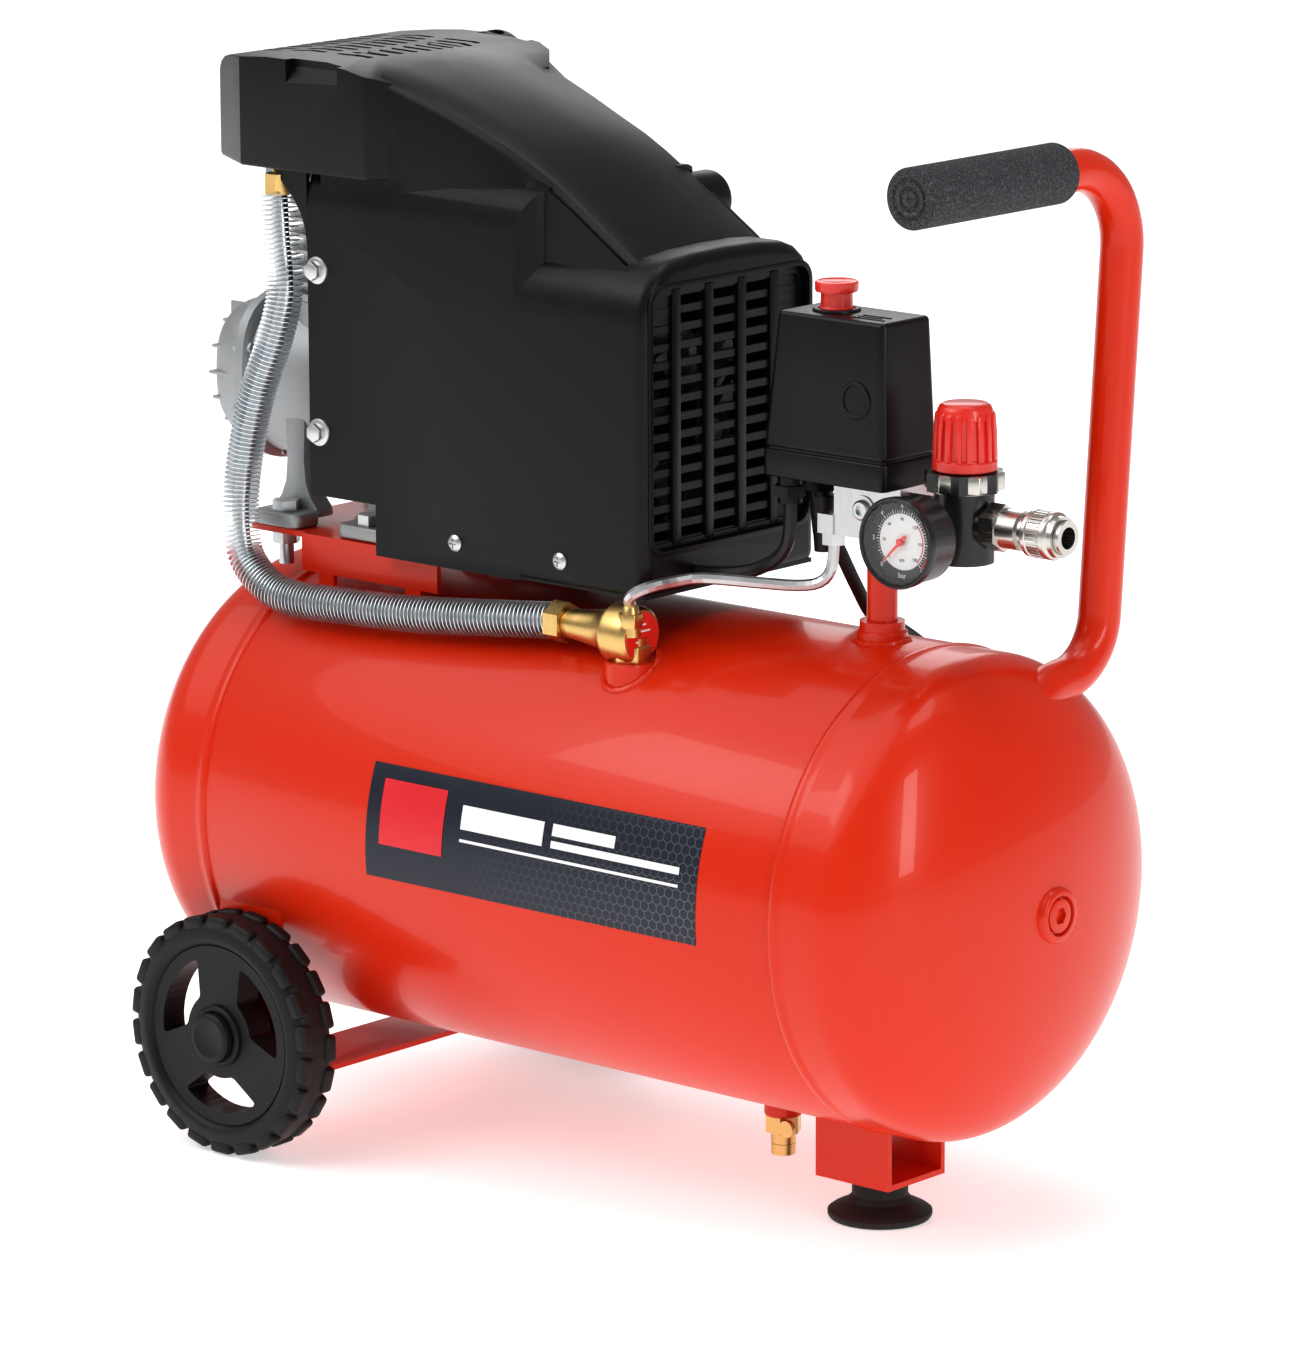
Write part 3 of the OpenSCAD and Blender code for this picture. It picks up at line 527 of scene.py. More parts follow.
def smoothRoute(points, steps):
    # points along a smooth curve through a route, as in the CAD model
    spots = []
    last = len(points) - 1
    for i in range(last):
        p0, p1 = points[max(i - 1, 0)], points[i]
        p2, p3 = points[i + 1], points[min(i + 2, last)]
        for s in range(steps):
            t = s / steps
            spots.append(0.5 * (2 * p1 + (p2 - p0) * t + (2 * p0 - 5 * p1 + 4 * p2 - p3) * t * t
                                + (3 * p1 - p0 - 3 * p2 + p3) * t * t * t))
    spots.append(points[last])
    return spots


# Mains lead: out of its gland, over the back of the tank, down to the floor and into its coil

mainsLead = {
    "diameter": 7,
    "route": [
        (121, 4, 371), (122, 6, 358), (126, 13, 342), (129, 23, 322), (130, 36, 304), (130, 56, 295),
        (128, 84, 277), (123, 107, 252), (112, 124, 218), (97, 131, 178), (79, 132, 132), (61, 135, 86),
        (47, 142, 46), (38, 154, 18), (34, 168, 5), (32, 184, 4), (31, 204, 4), (30, 222, 4),
    ],
    "coil": (-12, 230),
    "coilRadius": 38.5,
    "turns": 3.2,
    "plugEnd": (-41, 265, 18.5),
}


def leadPath():
    d = mainsLead["diameter"]
    points = smoothRoute([place(*spot) for spot in mainsLead["route"]], 6)
    cx, cy = mainsLead["coil"]
    # an outer and an inner turn lie on the floor and the rest lies on them; a change of row is a gentle ramp
    steps = 36
    total = int(mainsLead["turns"] * steps)
    changes = [(0.7, 1.0), (0.5, 0.8), (0.2, 0.5), (2, 3)]
    for i in range(total + 1):
        turn = i / steps
        angle = turn * math.tau
        outer = mainsLead["coilRadius"] + d / 2
        inner = mainsLead["coilRadius"] - d / 2
        rows = [(outer, d / 2), (inner, d / 2), (inner, d * 1.5), (outer, d * 1.5), (outer, d * 1.5)]
        here = min(int(turn), 3)
        ahead = here + 1
        start, stop = changes[here]
        part = min(1, max(0, (turn - here - start) / (stop - start)))
        part = part * part * (3 - 2 * part)
        radius = rows[here][0] + (rows[ahead][0] - rows[here][0]) * part
        height = rows[here][1] + (rows[ahead][1] - rows[here][1]) * part
        points.append(place(cx + radius * math.cos(angle), cy + radius * math.sin(angle), height + 0.1))
    return points


def lengthOf(points):
    return sum((b - a).length for a, b in zip(points, points[1:]))


def makeLead():
    points = leadPath()
    end = place(*mainsLead["plugEnd"])
    before, last = points[-2], points[-1]
    middle = (last + end) / 2 + Vector((-0.0015, 0.002, 0.0005))
    points += smoothRoute([before, last, middle, end, end + Vector((-0.01, 0, 0))], 6)[7:-6]
    lead = tubeAlong(points, mainsLead["diameter"] / 2, 20, 1, "VECTOR")
    hand(lead, "mains_lead", "frame", cableSheath, "mains_cord", "cord_coil")
    axis = (0, 265, 18.5)
    plug = extruded(roundedRectangle(247, 283, 0.2, 37, 14, 8), "x", -92, -58)
    soften(plug, 3, 3)
    relief = lathe([(-58, 0.2), (-58, 8), (-55, 7.6), (-41, 4.4), (-41, 3.4), (-47, 3.4)], "x", axis, 40)
    rings = [lathe([(x, 3.6), (x, 8 - (x + 57) * 0.2), (x + 1.6, 8 - (x + 57) * 0.2), (x + 1.6, 3.6)], "x",
                   axis, 40) for x in (-55, -51, -47)]
    face = rod("x", -100, -91.5, 16.5, (265, 18.5), 64)
    soften(face, 1.2, 2)
    plug = join([plug, relief, face] + rings)
    hand(plug, "mains_plug", "frame", cableSheath, "cord_plug")
    pins = [rod("x", -119, -99, 2.4, (265 + side * 9.5, 18.5), 24) for side in (-1, 1)]
    for pin in pins:
        soften(pin, 1.2, 3)
    pins = join(pins)
    hand(pins, "plug_pins", "frame", nickel)
    collar = lathe([(342, 3.4), (342, 4.6), (350, 5.2), (352, 5.6), (362, 6.6), (371, 7.4), (371, 3.4)], "z",
                   (121.6, 5.6, 0), 40)
    hand(collar, "lead_relief", "frame", cableSheath)
    cx, cy = mainsLead["coil"]
    loop = [math.tau * i / 20 for i in range(21)]
    tie = tubeAlong([place(cx - 38.5 + 8.6 * math.cos(t), cy, 8.2 + 7 * math.sin(t)) for t in loop], 1.1, 12, 2)
    hand(tie, "coil_tie", "frame", footRubber)
    measured = lengthOf(points)
    print("lead length", round(measured, 3))


makeLead()
print("cords ready")


# Shroud: the panels, the vent box, the duct and the head cover are joined into one skin

shroud = {
    "wall": 2.5,
    "floor": 319,
    "duct": [  # along X, height of the ridge, distance of ridge and foot from the centre line in front
        (-160, 575, 66, 67, 66), (-140, 574.5, 66, 67, 64), (-118, 572, 65.6, 66.5, 61),
        (-98, 565.5, 63, 65, 56), (-75, 557.5, 60, 63.2, 53), (-55, 549, 57.4, 61.6, 52),
        (-38, 541.5, 55, 60, 52), (-24, 534, 53, 58.6, 52), (-9, 525, 51, 57, 52),
        (5, 516, 50.8, 57.2, 52), (20, 506, 50.8, 57, 52), (32, 498.3, 51, 57, 52), (44, 490, 51.5, 57, 52),
        (52, 484, 52, 57, 52), (57, 479, 52, 57, 52),
    ],
    "crown": 3,
    "ventRows": 14,
    "ventPitch": 9.2,
    "louvres": 10,
}


def mirrored(points):
    # adds the other half of a section that is drawn from its foot to the centre line
    return points + [(-y, z) for y, z in reversed(points) if abs(y) > 0.001]


def loft(sections):
    # closed rings of points in millimetres, bridged one to the next, with both ends capped
    mesh = bpy.data.meshes.new("loft")
    size = len(sections[0])
    spots = [place(*point) for ring in sections for point in ring]
    edges = [(r * size + i, r * size + (i + 1) % size) for r in range(len(sections)) for i in range(size)]
    mesh.from_pydata(spots, edges, [])
    piece = addPiece("loft", mesh)
    activate(piece)
    bpy.ops.object.mode_set(mode="EDIT")
    bpy.ops.mesh.select_mode(type="EDGE")
    for r in range(len(sections) - 1):
        bpy.ops.mesh.select_all(action="DESELECT")
        bpy.ops.object.mode_set(mode="OBJECT")
        for edge in mesh.edges:
            edge.select = all(r * size <= v < (r + 2) * size for v in edge.vertices) and len(
                {v // size for v in edge.vertices}) == 1
        bpy.ops.object.mode_set(mode="EDIT")
        bpy.ops.mesh.bridge_edge_loops()
    bpy.ops.mesh.select_mode(type="VERT")
    for r in (0, len(sections) - 1):
        bpy.ops.mesh.select_all(action="DESELECT")
        bpy.ops.object.mode_set(mode="OBJECT")
        for vertex in mesh.vertices:
            vertex.select = r * size <= vertex.index < (r + 1) * size
        bpy.ops.object.mode_set(mode="EDIT")
        bpy.ops.mesh.edge_face_add()
    bpy.ops.mesh.select_all(action="SELECT")
    bpy.ops.mesh.normals_make_consistent(inside=False)
    bpy.ops.object.mode_set(mode="OBJECT")
    return piece


def dropFaces(piece, unwanted):
    # deletes the faces that a test on centre (from the tank's middle, in mm) and normal picks out
    activate(piece)
    bpy.ops.object.mode_set(mode="EDIT")
    bpy.ops.mesh.select_mode(type="FACE")
    bpy.ops.mesh.select_all(action="DESELECT")
    bpy.ops.object.mode_set(mode="OBJECT")
    for face in piece.data.polygons:
        spot = (face.center - place(0, 0, 0)) / mm
        face.select = unwanted(spot, face.normal)
    bpy.ops.object.mode_set(mode="EDIT")
    bpy.ops.mesh.delete(type="FACE")
    bpy.ops.mesh.select_mode(type="VERT")
    bpy.ops.object.mode_set(mode="OBJECT")
    return piece


def makeShroud():
    low = shroud["floor"]
    panel = extruded(mirrored([(-68, low), (-68, 498), (-67.4, 505), (-65.5, 511.5), (-62.4, 517), (-58.5, 520.5),
                               (-53, 522.6), (-30, 523.4)]), "x", -169, -10)
    for side in (-1, 1):
        cut(panel, [extruded([(-26, side * 70), (-24, side * 68), (-19.5, side * 66), (-14.6, side * 62),
                              (-11.4, side * 58), (-10, side * 54), (-9.5, side * 54), (-5, side * 54),
                              (-5, side * 70)], "z", low - 5, 540)])
    panel = clean(panel)
    vent = extruded(mirrored([(-68.03, low), (-68.03, 458), (-67.2, 467), (-64.6, 475), (-60, 482), (-54, 487),
                              (-45, 490.4), (-25, 492.4), (0, 493)]), "x", -90, 65)
    soften(vent, 7, 5, 60)
    rings = []
    for x, ridge, front, foot, back in shroud["duct"]:
        crease = min(521, ridge - 3)
        crown = shroud["crown"]
        behind = max(57, back + 3)
        fall = 4 if x > -110 else 1
        rings.append([(x, y, z) for y, z in [
            (-foot, 470), (-foot, crease - 20), (-foot + 0.6, crease), (-front - 1.9, ridge - 6.5),
            (-front - 1.3, ridge - 3.6), (-front + 0.4, ridge - 1.2), (-front + 3.4, ridge),
            (-front * 0.66, ridge + crown * 0.5), (-front * 0.33, ridge + crown * 0.85), (0, ridge + crown * 0.9),
            (back * 0.36, ridge + crown * 0.6), (back * 0.7, ridge - fall * 0.4), (back - 3.4, ridge - fall),
            (back - 0.4, ridge - 1.2 - fall), (back + 1.3, ridge - 3.6 - fall), (back + 1.9, ridge - 6.5 - fall),
            (behind - 0.6, crease - fall), (behind, crease - 20), (behind, 470)]])
    duct = loft(rings)
    head = extruded([(-246, 518), (-246, 558), (-244.6, 564), (-241, 568.8), (-235, 572), (-226, 574),
                     (-190, 576.6), (-150, 576.4), (-134, 574.4), (-118, 571), (-100, 564.5), (-100, 518)],
                    "y", -80, 80)
    plan = extruded([(-246, -54), (-210, -75), (-176, -76.2), (-119, -74.6), (-112.5, -67), (-104, -60), (-104, 50),
                     (-122, 70), (-134, 75.4), (-176, 76.4), (-210, 75), (-246, 54)], "z", 517, 590)
    soften(plan, 3, 3, 45)
    cut(head, [plan], "INTERSECT")
    head = clean(head)
    soften(head, 6, 5, 55)
    for side in (-1, 1):
        wedge = extruded([(side * 77.5, 562.5), (side * 70.5, 572.5), (side * 70.5, 590), (side * 84, 590),
                          (side * 84, 562.5)], "x", -175, -139)
        cut(head, [wedge])
    shell = cut(cut(cut(panel, [vent], "UNION"), [duct], "UNION"), [head], "UNION")
    cut(shell, [block(-180, -122, -90, 90, low - 20, 346)])
    shell = clean(shell)
    dropFaces(shell, lambda spot, normal: (
        (normal.z < -0.9 and (spot.z < 347 or abs(spot.z - 518) < 1.5))
        or (normal.x < -0.9 and -170 < spot.x < -120)))
    modify(shell, "SOLIDIFY", thickness=shroud["wall"] * mm, offset=-1)
    opening = extruded(roundedRectangle(-61, 61, 343, 477, 9), "x", 50, 80)
    cut(shell, [opening])
    slots = []
    for row in range(3):
        for i in range(shroud["louvres"]):
            y = -41 + 82 * i / (shroud["louvres"] - 1)
            x = -226 + row * 33 + 9 * math.cos(y / 41 * 1.4)
            slots.append(extruded(roundedRectangle(x - 12.5, x + 12.5, y - 2, y + 2, 1.9, 4), "z", 560, 590))
    cut(shell, slots, careful=True)
    flares = []
    for side in (-1, 1):
        flare = extruded([(-169.2, 478), (-170.4, 487), (-173, 494), (-177.5, 501), (-183, 507), (-189, 513),
                          (-196, 519), (-169.02, 519), (-169.02, 478)], "y", side * 68, side * 65.5)
        flares.append(clean(flare))
    ventFrame = extruded(roundedRectangle(-63, 63, 341, 479, 10), "x", 57.2, 61)
    cut(ventFrame, [extruded(roundedRectangle(-58, 58, 346, 473, 6), "x", 50, 70)])
    bars = []
    for i in range(shroud["ventRows"] + 1):
        z = 409.5 + (i - shroud["ventRows"] / 2) * shroud["ventPitch"]
        bar = block(57.8, 60, -59, 59, z - 2.3, z + 2.3)
        bars.append(soften(bar, 0.4, 1))
    ribs = [soften(block(57.4, 61.6, y - 3.3, y + 3.3, 344, 476), 0.8, 2) for y in (-38.3, -12.8, 12.8, 38.3)]
    blanks = [block(57.8, 59.8, -60, -38, 458, 475), block(57.8, 59.8, 38, 60, 449, 475),
              block(57.8, 59.8, 38, 60, 345, 358), block(-83, 63.5, -65.6, 65.6, 319.4, 321.6),
              soften(rod("y", 46, 73, 15, (-10, 503), 64), 4, 4)]
    lip = soften(extruded(roundedRectangle(-64, 64, 340, 480, 11), "x", 64.4, 65.7), 0.6, 2)
    cut(lip, [extruded(roundedRectangle(-61.2, 61.2, 342.8, 477.2, 9), "x", 60, 70)])
    shell = join([shell, ventFrame, lip] + flares + bars + ribs + blanks)
    hand(shell, "shroud_shell", "frame", shroudPlastic, "shroud", smooth=27)


makeShroud()
print("shroud ready")


# Finned tube: a screw of thin fin wound on a bright core and bent along its route

finTube = {
    "route": [
        (-193, -64, 503), (-190, -66, 480), (-187, -67, 452), (-193, -69, 426), (-202, -71, 402), (-210, -72, 375),
        (-215, -73, 347), (-214, -75, 322), (-205, -77, 304), (-180, -79, 292), (-135, -79, 292), (-84, -76, 294),
        (-34, -71, 298), (2, -66, 301),
    ],
    "pitch": 2.5,
    "core": 4.6,
    "fin": 9.8,
}


def makeFinTube():
    points = smoothRoute([place(*spot) for spot in finTube["route"]], 6)
    length = lengthOf(points)
    core = tubeAlong(points, finTube["core"], 20, 1, "VECTOR")
    hand(core, "fin_core", "frame", finMetal)
    turns = int(length / mm / finTube["pitch"])
    mesh = bpy.data.meshes.new("fin")
    mesh.from_pydata([(0, 0, finTube["core"] * mm * 0.9), (0, 0, finTube["fin"] * mm)], [(0, 1)], [])
    fin = addPiece("fin", mesh)
    modify(fin, "SCREW", angle=math.tau * turns, steps=18 * turns, render_steps=18 * turns,
           screw_offset=length, axis="X", use_normal_calculate=True)
    modify(fin, "SOLIDIFY", thickness=0.4 * mm, offset=0)
    curve = bpy.data.curves.new("fin_route", "CURVE")
    curve.dimensions = "3D"
    curve.twist_mode = "MINIMUM"
    spline = curve.splines.new("POLY")
    spline.points.add(len(points) - 1)
    for knot, point in zip(spline.points, points):
        knot.co = (*point, 1)
    guide = addPiece("fin_route", curve)
    low = min(v.co.x for v in fin.data.vertices)
    for vertex in fin.data.vertices:
        vertex.co.x -= low
    modify(fin, "CURVE", object=guide, deform_axis="POS_X")
    bpy.data.objects.remove(guide)
    hand(fin, "finned_tube", "frame", finMetal, "finned_tube", smooth=60)


makeFinTube()
print("finned tube ready")


# Wheels: a moulded tyre with shoulder lugs, three spokes and a plain cap

wheel = {
    "x": -171,
    "z": 65,
    "lugs": 22,
    "spokes": 3,
}


def makeWheel(side, body, nodes, name):
    x, z = wheel["x"], wheel["z"]

    def turned(outline, steps=120):
        return lathe([(side * y, r) for y, r in outline], "y", (x, 0, z), steps)

    tyre = turned([(118.5, 49), (117.4, 51), (117.4, 57), (119, 60), (122, 62), (126, 63.2), (135, 63.2),
                   (139.5, 62), (142.4, 59.8), (143.6, 57), (144.1, 53.6), (144.1, 52), (143.2, 50.4), (141.4, 49),
                   (137.5, 47), (124, 47), (118.5, 49)])
    lugs = []
    for i in range(wheel["lugs"]):
        for edge, low, high in ((0, 135.4, 143.2), (1, 118.2, 126)):
            lug = block(x - 7.2, x + 7.2, side * low, side * high, z + 57, z + 64.6)
            lugs.append(turnMesh(soften(lug, 2.2, 3), "Y", math.tau * (i + 0.5 * edge) / wheel["lugs"], (x, 0, z)))
    web = turned([(125.5, 15), (125.5, 48.5), (141.6, 48.5), (141, 42), (141.8, 15), (125.5, 15)])
    for i in range(wheel["spokes"]):
        middle = math.radians(30 + 120 * i)
        outline = []
        for step in range(13):
            a = middle + math.radians(-38 + 76 * step / 12)
            outline.append((x + 42 * math.cos(a), z + 42 * math.sin(a)))
        for step in range(9):
            a = middle + math.radians(24 - 48 * step / 8)
            outline.append((x + 23 * math.cos(a), z + 23 * math.sin(a)))
        window = extruded(outline, "y", side * 110, side * 150)
        soften(window, 3.2, 3, 40)
        cut(web, [window])
    soften(web, 1.3, 2, 50)
    hub = turned([(119, 7), (119, 15.6), (126, 16.6), (143.6, 16.6), (145, 15.4), (145, 14), (143.8, 13.2),
                  (143.8, 7), (119, 7)], 80)
    ribs = []
    for i in range(wheel["spokes"]):
        rib = soften(block(x - 8.4, x + 8.4, side * 136.5, side * 139.4, z + 15, z + 47.6), 1.2, 2)
        ribs.append(turnMesh(rib, "Y", math.tau * i / wheel["spokes"], (x, 0, z)))
    hand(join([tyre, web, hub] + lugs + ribs), name, body, wheelPlastic, nodes[0], smooth=40)
    cap = turned([(144.2, 0.01), (144.2, 13), (146.6, 13.6), (148.6, 13.2), (149.7, 12), (150, 10.4), (149.6, 9.2),
                  (149.2, 8.6), (149.2, 0.01)], 80)
    hand(cap, name + "_cap", body, wheelPlastic, nodes[1])


makeWheel(-1, "front_wheel", ("wheel_front", "hub_cap_front"), "front_wheel_moulding")
makeWheel(1, "rear_wheel", ("wheel_rear", "hub_cap_rear"), "rear_wheel_moulding")
print("wheels ready")


# Label on the tank: generic bars and a square, with a faint mesh of cells

label = {
    "from": -77.7,
    "to": 148,
    "top": 0.375,
    "bottom": -0.104,
    "thickness": 0.2,
}


def curvedPatch(x0, x1, a0, a1, lift, steps=24):
    # a rectangle laid on the tank's round side; angles are measured up from the middle of its front
    deselect()
    bpy.ops.mesh.primitive_grid_add(x_subdivisions=2, y_subdivisions=steps, size=2, location=(0, 0, 0))
    piece = bpy.context.object
    radius = tankRadius / mm + lift
    for vertex in piece.data.vertices:
        x = x0 + (x1 - x0) * (vertex.co.x + 1) / 2
        angle = a0 + (a1 - a0) * (vertex.co.y + 1) / 2
        vertex.co = place(x, -radius * math.cos(angle), tankHeight / mm + radius * math.sin(angle))
    return modify(piece, "SOLIDIFY", thickness=label["thickness"] * mm, offset=0)


def labelFinish(name, color, extra=None):
    return mottled(name, None, color, 0.34, 0.06, 40.0, 900.0, 0.00003, 0.1, extra)


def cellFinish():
    # dark print that fades into a mesh of pale hexagonal cells towards its lower right
    finish = labelFinish("label_ground", (0.008, 0.011, 0.024))
    x = finish.axis("X")
    z = finish.axis("Z")
    size = 0.0052
    across, along = x / size, z / size
    first = (across.math("FLOORED_MODULO", 1) - 0.5, along.math("FLOORED_MODULO", 1.732) - 0.866)
    second = ((across + 0.5).math("FLOORED_MODULO", 1) - 0.5, (along + 0.866).math("FLOORED_MODULO", 1.732) - 0.866)
    nearer = (first[0] * first[0] + first[1] * first[1]) < (second[0] * second[0] + second[1] * second[1])
    dx = (first[0] * nearer + second[0] * (1 - nearer)).math("ABSOLUTE", 0)
    dz = (first[1] * nearer + second[1] * (1 - nearer)).math("ABSOLUTE", 0)
    line = dx.math("MAXIMUM", dx * 0.5 + dz * 0.866) > 0.46
    fade = finish.make("ShaderNodeMapRange", {}, {0: x - z * 1.2, 1: -0.24, 2: -0.07, 3: 0.0, 4: 0.16})
    finish.feed("Base Color", finish.mix(line * fade, (0.008, 0.011, 0.024, 1), (0.75, 0.8, 0.9, 1)))
    return finish


def makeLabel():
    ground = curvedPatch(label["from"], label["to"], label["bottom"], label["top"], 0.25, 40)
    hand(ground, "label_ground", "frame", cellFinish())
    square = curvedPatch(-68, -24, 0.04, 0.315, 0.5)
    hand(square, "label_square", "frame", labelFinish("label_red", (0.72, 0.02, 0.03)))
    white = labelFinish("label_white", (0.9, 0.9, 0.9))
    bars = []
    for x0, x1, a0, a1 in ((-12, 44, 0.17, 0.27), (50, 92, 0.22, 0.27), (50, 136, 0.17, 0.2),
                           (-12, 136, 0.118, 0.13)):
        bars.append(curvedPatch(x0, x1, a0, a1, 0.5))
    hand(join(bars), "label_bars", "frame", white)


makeLabel()
print("label ready")


# Tank: rolled shell, two dished heads with their seams, weld beads round the sockets

tank = {
    "seam": 198,
    "straight": 220,
    "end": 278,
    "bead": 1.7,
    "sockets": [  # x, y, radius, lower and upper end, and whether it is above the tank
        (54, -66, 13.5, 264, 287.2, 1), (165, 0, 13, 298, 308.2, 1), (100, 0, 10, 41.8, 56, -1),
    ],
}


def weldBead(x, y, radius, side):
    points = []
    big = tankRadius / mm
    for i in range(33):
        angle = math.tau * i / 32
        px = x + radius * math.cos(angle)
        py = y + radius * math.sin(angle)
        ripple = 0.25 * math.cos(angle * 14)
        points.append(place(px, py, tankHeight / mm + side * (math.sqrt(big * big - py * py) + 0.2 + ripple)))
    return tubeAlong(points, tank["bead"], 12, 3)


def makeTank():
    axis = (0, 0, tankHeight / mm)
    big = tankRadius / mm
    seam, straight, end = tank["seam"], tank["straight"], tank["end"]
    shell = lathe([(-seam, big - 3), (-seam, big - 0.4), (-seam + 1, big), (seam - 1, big), (seam, big - 0.4),
                   (seam, big - 3)], "x", axis, 160)
    bosses = []
    for x, y, radius, low, high, side in tank["sockets"]:
        first, last = (low, high) if side > 0 else (high, low)
        edge = 0.9 * side
        bosses.append(lathe([(first, 0.01), (first, radius), (last - edge, radius), (last, radius - 0.9),
                             (last, 0.01)], "z", (x, y, 0), 64))
        bosses.append(weldBead(x, y, radius + 0.8, side))
    hand(join([shell] + bosses), "tank_barrel", "frame", enamel, "tank_shell", smooth=40)
    for side, node in ((-1, "tank_head_left"), (1, "tank_head_right")):
        outline = [(side * (seam + x), big + y) for x, y in (
            (-3.2, -0.2), (-2.4, 0.7), (-0.6, 1.1), (1.4, 0.8), (2.8, 0.1), (6, 0))]
        for i in range(41):
            t = math.radians(90 * i / 40)
            outline.append((side * (straight + (end - straight) * math.sin(t)), max(0.01, big * math.cos(t))))
        head = lathe(outline, "x", axis, 160)
        parts = [head]
        if side > 0:
            parts.append(lathe([(268, 0.01), (268, 19.4), (273.6, 19.4), (274.6, 18.8), (275, 17.8), (275, 15.2),
                                (276.4, 14.4), (279.4, 14), (280.4, 13.2), (280.8, 12), (280.8, 10.4),
                                (278, 9.6), (278, 0.01)], "x", axis, 72))
            ring = [math.tau * i / 32 for i in range(33)]
            parts.append(tubeAlong([place(272.6, 19.9 * math.cos(t), tankHeight / mm + 19.9 * math.sin(t))
                                    for t in ring], 1.6, 12, 2))
        hand(join(parts), node + "_smooth", "frame", enamel, node, smooth=40)
    plug = rod("x", 276, 280.4, 8.8, (0, tankHeight / mm), 48)
    soften(plug, 0.6, 2)
    cut(plug, [rod("x", 276.4, 285, 4.6, (0, tankHeight / mm), 6)])
    hand(plug, "port_plug", "frame", enamel, "inspection_plug")


makeTank()
print("tank ready")


# Pressure gauge: black case, black ring with pale marks, a red zone, a white middle and a red needle

gauge = {
    "x": 223,
    "z": 369,
    "face": -55.6,
    "sweep": 270,
    "numbers": 12,
    "spaces": 48,
}


def dialPoint(radius, share):
    # a place on the dial; share runs from 0 at the lower left to 1 at the lower right
    angle = math.radians(225 - gauge["sweep"] * share)
    return gauge["x"] + radius * math.cos(angle), gauge["z"] + radius * math.sin(angle)


def writing(text, x, z, y, height):
    deselect()
    bpy.ops.object.text_add(location=(0, 0, 0))
    piece = bpy.context.object
    piece.data.body = text
    piece.data.size = height * mm
    piece.data.align_x = "CENTER"
    piece.data.align_y = "CENTER"
    piece.data.extrude = 0.05 * mm
    activate(piece)
    bpy.ops.object.convert(target="MESH")
    piece = bpy.context.object
    piece.matrix_world = Matrix.Translation(place(x, y, z)) @ Matrix.Rotation(math.radians(90), 4, "X")
    return settle(piece)


def makeGauge():
    gx, gz, face = gauge["x"], gauge["z"], gauge["face"]
    case = lathe([(-36, 0.01), (-36, 17), (-38, 20), (-41, 21.6), (-55, 22), (-56.5, 22.8), (-60.8, 23),
                  (-61.7, 22.5), (-62, 21.8), (-61.8, 21), (-60.6, 20.5), (-54.6, 20.3), (-54.6, 0.01)],
                 "y", (gx, 0, gz), 96)
    hand(case, "gauge_housing", "frame", regulatorBlack, "gauge_case")
    ring = lathe([(face + 0.9, 0.01), (face + 0.9, 20.3), (face, 20.3), (face, 0.01)], "y", (gx, 0, gz), 96)
    hand(ring, "dial_ring", "frame", dialInk, "gauge_dial")
    middle = lathe([(face, 0.01), (face, 14.2), (face - 0.12, 14.1), (face - 0.12, 0.01)], "y", (gx, 0, gz), 96)
    marks = [middle]
    for i in range(gauge["spaces"] + 1):
        long, half = (16.4, 0.2) if i % 4 == 0 else (15.8, 0.12)
        angle = math.radians(225 - gauge["sweep"] * (i / gauge["spaces"]))
        mark = block(gx + 14.4, gx + long, face - 0.1, face + 0.1, gz - half, gz + half)
        marks.append(turnMesh(mark, "Y", angle, (gx, 0, gz)))
    for number in range(0, gauge["numbers"] + 1, 2):
        x, z = dialPoint(18.1, number / gauge["numbers"])
        marks.append(writing(str(number), x, z, face - 0.08, 3.3))
    marks.append(writing("bar", gx, gz - 17, face - 0.08, 3.8))
    hand(join(marks), "dial_marks", "frame", dialWhite, smooth=30)
    small = [writing("psi", gx, gz - 9, face - 0.2, 2.8)]
    for number in range(0, 181, 30):
        x, z = dialPoint(11.4, number / 180)
        small.append(writing(str(number), x, z, face - 0.2, 2.2))
    hand(join(small), "dial_print", "frame", dialInk, smooth=30)
    zone = []
    for radius, first in ((16.9, 8 / 12), (17.3, 8 / 12), (13.2, 8 / 12)):
        spots = [dialPoint(radius, first + (1 - first) * i / 24) for i in range(25)]
        points = [place(x, face - 0.1, z) for x, z in spots]
        zone.append(tubeAlong(points, 0.32, 8, 1, "VECTOR"))
    hand(join(zone), "dial_zone", "frame", dialRed)
    needle = extruded([(gx + 4.6, gz + 0.9), (gx + 5, gz), (gx + 4.6, gz - 0.9), (gx - 1, gz - 0.8),
                       (gx - 15.4, gz - 0.16), (gx - 15.4, gz + 0.16), (gx - 1, gz + 0.8)], "y", -57.8, -57.2)
    turnMesh(needle, "Y", math.radians(45), (gx, 0, gz))
    knob = lathe([(-56.4, 0.01), (-56.4, 2), (-58.2, 2), (-58.8, 1.3), (-58.8, 0.01)], "y", (gx, 0, gz), 32)
    hand(join([needle, knob]), "needle_hand", "needle", buttonRed, "gauge_needle")
    glass = lathe([(-60, 0.01), (-60, 20.4), (-60.7, 20.4), (-61, 16), (-61.25, 8), (-61.3, 0.01)], "y",
                  (gx, 0, gz), 72)
    hand(glass, "gauge_glass", "frame", gaugeWindow, "gauge_lens")


makeGauge()
print("gauge ready")


# Regulator knob, its nut, the switch and the quick coupler's sleeve

regulator = {
    "x": 224,
    "y": -8,
    "ribs": 17,
}

switch = {
    "button": (143, -10),
    "well": 9.2,  # radius of the hole that the button sinks into
}

coupler = {
    "axis": (0, -8, 372),
    "ribs": 36,
}


